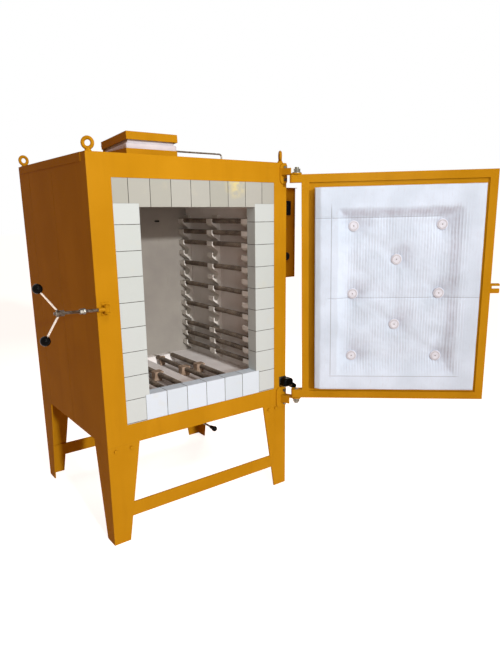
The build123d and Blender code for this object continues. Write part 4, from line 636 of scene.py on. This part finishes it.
def padHeight(x, z, pairs):
    share = fieldShare(x, z)
    depth = pad["border"] * share
    tuft = 0.0
    for centre, top in buttons:
        gap = math.hypot(x - centre.x, z - centre.z) / mm
        seat = (padHigh.y - top) / mm + pad["buttonSeat"] - pad["border"]
        near = 0.5 * math.exp(-(gap / pad["tuftNear"]) ** 2)
        far = 0.5 * math.exp(-(gap / pad["tuftFar"]) ** 1.5)
        tuft = max(tuft, seat * (near + far))
    depth += tuft * min(1.0, pad["tuftOnBorder"] + share)
    depth += pad["foldDepth"] * max([foldAt(x, z, a, b) for a, b in pairs] + [0])
    for row, first, last in seams:
        near = abs(z - row) / (pad["seamReach"] * mm)
        if first < x < last and near < 3:
            depth += pad["seam"] * math.exp(-near * near)
    place = Vector((x, 0, z)) / (pad["lumpSize"] * mm)
    lumps = pad["lump"] * noise.noise(place) + pad["smallLump"] * noise.noise(place * pad["smallLumpRatio"])
    depth -= lumps * (pad["lumpOnBorder"] + (1 - pad["lumpOnBorder"]) * share)
    depth -= hingeRoll(x, z)
    depth += pad["hingeDrop"] * (1 - slopeBetween((padHigh.x - x) / mm, 0, pad["hingeDropReach"]))
    edge = min(x - padLow.x, padHigh.x - x, z - padLow.z, padHigh.z - z) / (pad["round"] * mm)
    if edge < 1:
        depth += pad["round"] * (1 - math.sqrt(max(1 - (1 - edge) ** 2, 0))) * pad["roundShare"]
    return max(depth, pad["pressed"]) * mm


def buildPad():
    columns = int((padHigh.x - padLow.x) / (pad["cell"] * mm))
    rows = int((padHigh.z - padLow.z) / (pad["cell"] * mm))
    pairs = foldPairs()
    points = []
    for j in range(rows + 1):
        z = padLow.z + (padHigh.z - padLow.z) * j / rows
        for i in range(columns + 1):
            x = padLow.x + (padHigh.x - padLow.x) * i / columns
            points.append(Vector((x, padHigh.y - padHeight(x, z, pairs), z)))
    faces = []
    wide = columns + 1
    for j in range(rows):
        for i in range(columns):
            corner = j * wide + i
            faces.append((corner, corner + wide, corner + wide + 1, corner + 1))
    border = list(range(wide))
    border += [j * wide + columns for j in range(1, rows + 1)]
    border += [rows * wide + i for i in range(columns - 1, -1, -1)]
    border += [j * wide for j in range(rows - 1, 0, -1)]
    rings = [border]
    back = padLow.y + pad["back"] * mm
    front = padHigh.y - pad["round"] * mm
    middle = (padLow + padHigh) / 2
    sideX, sideZ = (reach * mm for reach in pad["sidesFrom"])
    for step in range(1, pad["sideSteps"] + 1):
        ratio = step / pad["sideSteps"]
        ring = []
        for index in border:
            point = points[index].copy()
            point.y = front + (back - front) * ratio
            tuck = pad["tuck"] * slopeBetween(ratio, 0.0, pad["tuckBy"])
            tuck = (tuck + pad["sideLump"] * noise.noise(point / (pad["sideLumpSize"] * mm))) * mm
            point.x += tuck * (1 if point.x < middle.x else -1) * (abs(point.x - middle.x) > sideX)
            point.z += tuck * (1 if point.z < middle.z else -1) * (abs(point.z - middle.z) > sideZ)
            ring.append(len(points))
            points.append(point)
        rings.append(ring)
    bridgeRings(faces, rings)
    faces.append(tuple(rings[-1]))
    made = meshObject("tuftedDoorPad", [doorOpen @ point for point in points], faces, padBlanket(),
                      "door")
    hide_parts("door_pad")
    return made


tuftedPad = buildPad()
print("door pad", len(tuftedPad.data.polygons), "faces, buttons", len(buttons))
buttonMesh = frame["nodes"]["pad_buttons"].data
buttonMesh.materials.clear()
buttonMesh.materials.append(buttonCeramic())


# Heating elements: close-wound wire on ceramic tubes, lengths in mm
winding = {
    "pitch": 4.6,
    "wireRadius": 1.45,
    "coilRadius": 11.2,
    "sides": 5,
    "steps": 13,
    "endGap": 11.0,  # from the holders' ends to the first turn
    "floorGaps": (8.0, 28.0),  # more at the front and back of the hearth's tubes
    "floorRise": 30.0,  # a tube lower than this above the hearth's top belongs to the floor
    "tubeReach": 4.0,  # points this close belong to one tube
    "tubeSides": 24,
    "tubeRadius": 9.0,
    "tubeEndRadius": 7.8,
    "tubeChamfer": 1.2,
}


def heatingTubes():
    low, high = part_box("heating_elements")
    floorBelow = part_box("hearth")[1].z + winding["floorRise"] * mm
    tubes = {"windingsLeft": [], "windingsRight": [], "windingsFloor": []}
    for group in clusters(nodePoints("heating_elements"), winding["tubeReach"] * mm, (0, 2)):
        centre = (group["low"] + group["high"]) / 2
        side = "windingsLeft" if centre.x < (low.x + high.x) / 2 else "windingsRight"
        tubes["windingsFloor" if centre.z < floorBelow else side].append(centre)
    return tubes


def helixTube(points, faces, centre, y0, y1, phase):
    turns = (y1 - y0) / (winding["pitch"] * mm)
    count = int(turns * winding["steps"])
    sides = winding["sides"]
    rings = []
    for k in range(count + 1):
        angle = phase + 2 * math.pi * turns * k / count
        out = Vector((math.cos(angle), 0, math.sin(angle)))
        middle = Vector((centre.x, y0 + (y1 - y0) * k / count, centre.z)) + out * winding["coilRadius"] * mm
        rings.append(list(range(len(points), len(points) + sides)))
        for s in range(sides):
            roll = 2 * math.pi * s / sides
            offset = out * math.cos(roll) + Vector((0, 1, 0)) * math.sin(roll)
            points.append(middle + offset * winding["wireRadius"] * mm)
    bridgeRings(faces, rings)
    faces.append(tuple(reversed(rings[0])))
    faces.append(tuple(rings[-1]))


def roundTube(points, faces, centre, profile):
    sides = winding["tubeSides"]
    base = len(points)
    for y, radius in profile:
        for s in range(sides):
            angle = 2 * math.pi * s / sides
            points.append(Vector((centre.x + radius * math.cos(angle), y,
                                  centre.z + radius * math.sin(angle))))
    for k in range(len(profile) - 1):
        for s in range(sides):
            a = base + k * sides + s
            b = base + k * sides + (s + 1) % sides
            faces.append((a, a + sides, b + sides, b))
    faces.append(tuple(base + s for s in range(sides)))
    last = base + (len(profile) - 1) * sides
    faces.append(tuple(last + s for s in reversed(range(sides))))


def buildElements(tubes):
    low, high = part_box("heating_elements")
    holderLow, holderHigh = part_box("holders_left")
    chamfer = winding["tubeChamfer"] * mm
    radius, endRadius = winding["tubeRadius"] * mm, winding["tubeEndRadius"] * mm
    profile = [(low.y, endRadius), (low.y + chamfer, radius), (high.y - chamfer, radius), (high.y, endRadius)]
    dice = random.Random(7)
    tubePoints, tubeFaces = [], []
    for name, centres in tubes.items():
        points, faces = [], []
        frontGap, backGap = winding["floorGaps"] if name == "windingsFloor" else (0, 0)
        y0 = holderLow.y + (winding["endGap"] + frontGap) * mm
        y1 = holderHigh.y - (winding["endGap"] + backGap) * mm
        for centre in centres:
            helixTube(points, faces, centre, y0, y1, dice.uniform(0, 6.28))
            roundTube(tubePoints, tubeFaces, centre, profile)
        meshObject(name, points, faces, wire, "kiln")
    made = meshObject("elementTubes", tubePoints, tubeFaces, ceramic, "kiln")
    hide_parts("heating_elements")


# Clay saddles that steady the hearth's tubes, one to each tube that the door opening shows, in mm
saddle = {
    "width": 52.0,
    "depth": 50.0,
    "tubeTop": 12.7,  # from the tube's middle to the outside of its winding
    "overTube": 1.0,
    "taper": 0.45,  # share of its depth that each saddle loses towards its foot
    "bevel": 4.0,
    "bevelSteps": 3,
    "longEdge": 9.0,  # a longer edge is cut up before the surface is roughened
    "cuts": 3,
    "rough": 1.2,
    "roughSize": 13.0,
    "roughSeed": 7,
    "spareSize": (30.0, 22.0),  # width and depth of the spare block, and how far in from the corner
    "spareIn": (17.0, 12.0),
}


def buildSaddles(tubes):
    low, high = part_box("element_saddles")
    centres = sorted(tubes, key=lambda centre: centre.x)
    width, depth = saddle["width"] * mm, saddle["depth"] * mm
    blocks = [(centre.x, low.y + depth / 2, width, depth) for centre in centres]
    spareIn, spareSize = Vector(saddle["spareIn"]) * mm, Vector(saddle["spareSize"]) * mm
    blocks.append((high.x - spareIn.x, high.y - spareIn.y, spareSize.x, spareSize.y))
    tall = centres[0].z + (saddle["tubeTop"] + saddle["overTube"]) * mm - low.z
    middle = low.z + tall / 2
    made = []
    for x, y, blockWidth, blockDepth in blocks:
        bpy.ops.object.select_all(action="DESELECT")
        bpy.ops.mesh.primitive_cube_add(size=1.0, location=(x, y, middle),
                                        scale=(blockWidth, blockDepth, tall))
        block = bpy.context.object
        bpy.ops.object.transform_apply(location=True, rotation=False, scale=True)
        made.append(block)
        bpy.ops.object.mode_set(mode="EDIT")
        bpy.ops.mesh.select_all(action="DESELECT")
        bpy.ops.object.mode_set(mode="OBJECT")
        for corner in block.data.vertices:
            corner.select = corner.co.z < middle  # the foot
        bpy.ops.object.mode_set(mode="EDIT")
        bpy.ops.transform.resize(value=(1.0, 1.0 - saddle["taper"], 1.0), center_override=(x, y, low.z))
        bpy.ops.mesh.select_all(action="SELECT")
        bpy.ops.mesh.bevel(offset=saddle["bevel"] * mm, segments=saddle["bevelSteps"], profile=0.5,
                           affect="EDGES")
        bpy.ops.mesh.select_mode(type="EDGE")
        bpy.ops.mesh.select_all(action="DESELECT")
        bpy.ops.object.mode_set(mode="OBJECT")
        corners = block.data.vertices
        for edge in block.data.edges:
            start, end = (corners[i].co for i in edge.vertices)
            edge.select = (end - start).length > saddle["longEdge"] * mm
        bpy.ops.object.mode_set(mode="EDIT")
        bpy.ops.mesh.subdivide(number_cuts=saddle["cuts"])
        bpy.ops.mesh.select_mode(type="VERT")
        bpy.ops.object.mode_set(mode="OBJECT")
    for block in made:
        block.select_set(True)
    bpy.context.view_layer.objects.active = made[0]
    bpy.ops.object.join()
    saddles = made[0]
    saddles.name = saddles.data.name = "claySaddles"
    noise.seed_set(saddle["roughSeed"])  # noise_vector starts from the clock otherwise
    for corner in saddles.data.vertices:
        corner.co += noise.noise_vector(corner.co / (saddle["roughSize"] * mm)) * saddle["rough"] * mm
    saddles.data.materials.append(clay)
    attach(saddles, "kiln")
    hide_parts("element_saddles")
    return len(blocks)


heating = heatingTubes()
buildElements(heating)
print("elements on", sum(len(centres) for centres in heating.values()), "tubes")
print("saddles", buildSaddles(heating["windingsFloor"]))


# Vent: layered fibre in the collar and under the lid, lengths in mm
blanket = {
    "layers": 3,
    "cell": 7.0,
    "fray": 1.6,
    "fraySize": 19.0,
    "edge": (0.4, 2.2),  # height of a layer's rounded edge, and how far it lies in
    "swell": 0.3,  # how far a layer's full side lies in
    "swellFrom": 0.2,  # share of a layer's height at which its side is full
    "wall": 50.0,  # of the collar's ring
    "lidTilt": 4.2,  # degrees that the lid stands open on the blanket
}


def layeredRing(low, high, hole, seed, fall=0.0):
    points, faces = [], []
    layer = (high.z - low.z) / blanket["layers"]
    edgeHeight, edgeIn, swell = (size * mm for size in (*blanket["edge"], blanket["swell"]))
    shape = []
    for step in range(blanket["layers"]):
        z = low.z + step * layer
        shape += [(z + edgeHeight, edgeIn), (z + layer * blanket["swellFrom"], swell),
                  (z + layer * (1 - blanket["swellFrom"]), swell), (z + layer - edgeHeight, edgeIn)]
    outline = []
    for x0, y0, x1, y1 in ((low.x, low.y, high.x, low.y), (high.x, low.y, high.x, high.y),
                           (high.x, high.y, low.x, high.y), (low.x, high.y, low.x, low.y)):
        count = max(int(math.hypot(x1 - x0, y1 - y0) / (blanket["cell"] * mm)), 1)
        outline += [(x0 + (x1 - x0) * k / count, y0 + (y1 - y0) * k / count) for k in range(count)]
    middle = Vector(((low.x + high.x) / 2, (low.y + high.y) / 2))

    def ringAt(z, inset, scale):
        ring = []
        for x, y in outline:
            place = Vector((x, y, z)) / (blanket["fraySize"] * mm) + Vector((seed, 0, 0))
            wobble = blanket["fray"] * mm * noise.noise(place)
            pull = inset + abs(wobble)
            sx = middle.x + (x - middle.x) * scale.x
            sy = middle.y + (y - middle.y) * scale.y
            sx += pull * (1 if sx < middle.x else -1)
            sy += pull * (1 if sy < middle.y else -1)
            ring.append(len(points))
            share = 1 - fall * (y - low.y) / (high.z - low.z)
            points.append(Vector((sx, sy, low.z + (z + 0.5 * wobble - low.z) * share)))
        return ring

    rings = [ringAt(z, inset, Vector((1, 1))) for z, inset in shape]
    if hole is None:
        bridgeRings(faces, rings)
        faces.append(tuple(reversed(rings[0])))
        faces.append(tuple(rings[-1]))
    else:
        holeScale = Vector(((hole[1].x - hole[0].x) / (high.x - low.x),
                            (hole[1].y - hole[0].y) / (high.y - low.y)))
        inner = [ringAt(z, 0.0, holeScale) for z, inset in reversed(shape)]
        bridgeRings(faces, rings + inner + [rings[0]])
    return points, faces


def buildVentFibre():
    low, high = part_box("vent_fibre")
    wall = Vector((blanket["wall"] * mm, blanket["wall"] * mm, 0))
    fall = math.tan(math.radians(blanket["lidTilt"]))
    points, faces = layeredRing(low, high, (low + wall, high - wall), 3, fall)
    ring = meshObject("collarBlanket", points, faces, ventBlanket, "kiln")
    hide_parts("vent_fibre")
    lidOpen = hingeMatrix("vent_hinge", blanket["lidTilt"])
    low, high = spanOf(nodePoints("lid_fibre", lidOpen.inverted()))
    points, faces = layeredRing(low, high, None, 11)
    under = meshObject("lidBlanket", [lidOpen @ point for point in points], faces, ventBlanket,
                       "vent_lid")
    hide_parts("lid_fibre")


buildVentFibre()
print("vent blankets")


# Stage, lights and camera
def seenDirectly(tree):
    path = addNode(tree, "LightPath", result=None)
    seen = addNode(tree, "Math", {0: path["Is Camera Ray"], 1: path["Is Glossy Ray"]}, operation="MAXIMUM")
    return addNode(tree, "Math", {0: seen, 1: path["Is Transmission Ray"]}, operation="MAXIMUM")


def buildStage():
    bpy.ops.object.select_all(action="DESELECT")
    bpy.ops.mesh.primitive_plane_add(size=90, location=(0, 0, cadLow.z))  # 90 m, out of the frame
    floor = bpy.context.object
    floor.name = "studioFloor"
    material, tree, shader, place = newMaterial("paleFloor", Roughness=1.0, Specular_IOR_Level=0.0,
                                                Base_Color=srgb(lights["floorColour"]),
                                                Emission_Color=(1, 1, 1, 1))
    connect(tree, shader, Emission_Strength=allOf(tree, seenDirectly(tree), lights["floorGlow"]))
    floor.data.materials.append(material)


lights = {
    "sunTowards": (-0.08, -0.95, 0.215),  # from the object to the lamp
    "sunStrength": 1.8,
    "sunSoftness": 2.5,
    "skyStrength": 0.245,
    "skyColour": "FFAC7C",
    "floorGlow": 0.86,
    "floorColour": "F2E3D8",
    # Panel lamps: place and aim in metres from the case's front left bottom corner, size, energy
    "panels": {
        "fillLight": ((0.18, -1.80, 0.98), (0.55, 0.30, 0.42), 0.9, 10.0),
        "topLight": ((0.25, -1.45, 2.35), (0.50, 0.30, 0.10), 1.0, 17.0),
        "backLight": ((2.30, 2.90, 1.60), (0.60, 0.80, 0.60), 1.5, 34.0),
    },
}


def buildLights():
    scene = bpy.context.scene
    scene.world = bpy.data.worlds.new("studioWorld")
    scene.world.use_nodes = True
    tree = scene.world.node_tree
    background = tree.nodes["Background"]
    background.inputs["Color"].default_value = srgb(lights["skyColour"])
    background.inputs["Strength"].default_value = lights["skyStrength"]
    seen = seenDirectly(tree)
    white = addNode(tree, "Background", {"Color": (1, 1, 1, 1), "Strength": 1.0})
    mixed = addNode(tree, "MixShader", {0: seen, 1: background.outputs[0], 2: white})
    tree.links.new(mixed, tree.nodes["World Output"].inputs["Surface"])
    sun = bpy.data.lights.new("keyLight", "SUN")
    sun.energy = lights["sunStrength"]
    sun.angle = math.radians(lights["sunSoftness"])
    lamp = bpy.data.objects.new("keyLight", sun)
    lamp.rotation_mode = "QUATERNION"
    lamp.rotation_quaternion = Vector(lights["sunTowards"]).to_track_quat("Z", "Y")
    scene.collection.objects.link(lamp)
    for name, (place, aim, size, energy) in lights["panels"].items():
        panel = bpy.data.lights.new(name, "AREA")
        panel.energy = energy
        panel.size = size
        lamp = bpy.data.objects.new(name, panel)
        lamp.location = caseCorner + Vector(place)
        lamp.rotation_mode = "QUATERNION"
        lamp.rotation_quaternion = (Vector(place) - Vector(aim)).to_track_quat("Z", "Y")
        lamp.visible_camera = False
        scene.collection.objects.link(lamp)


def buildCamera():
    scene = bpy.context.scene
    view = {
        "place": (-0.8218, -2.1343, 0.9788),  # metres from the case's front left bottom corner
        "heading": 37.22,
        "pitch": 13.79,
        "roll": 0.478,
        "lens": 30.51,
        "shiftX": -0.0077,
        "shiftY": 0.0370,
    }
    heading, pitch, roll = (math.radians(view[key]) for key in ("heading", "pitch", "roll"))
    forward = Vector((math.sin(heading) * math.cos(pitch), math.cos(heading) * math.cos(pitch),
                      -math.sin(pitch)))
    level = Vector((math.cos(heading), -math.sin(heading), 0))
    down = forward.cross(level)
    if down.z > 0:
        down = -down
    right = math.cos(roll) * level + math.sin(roll) * down
    up = -(-math.sin(roll) * level + math.cos(roll) * down)
    data = bpy.data.cameras.new("photoCamera")
    data.lens = view["lens"]
    data.sensor_width = 36
    data.shift_x = view["shiftX"]
    data.shift_y = view["shiftY"]
    data.clip_start = 0.02
    data.clip_end = 200
    camera = bpy.data.objects.new("photoCamera", data)
    basis = Matrix((right, up, -forward)).transposed().to_4x4()
    camera.matrix_world = Matrix.Translation(caseCorner + Vector(view["place"])) @ basis
    scene.collection.objects.link(camera)
    scene.camera = camera


buildStage()
buildLights()
buildCamera()
bpy.context.scene.view_settings.view_transform = "Standard"
print("stage, lights and camera")
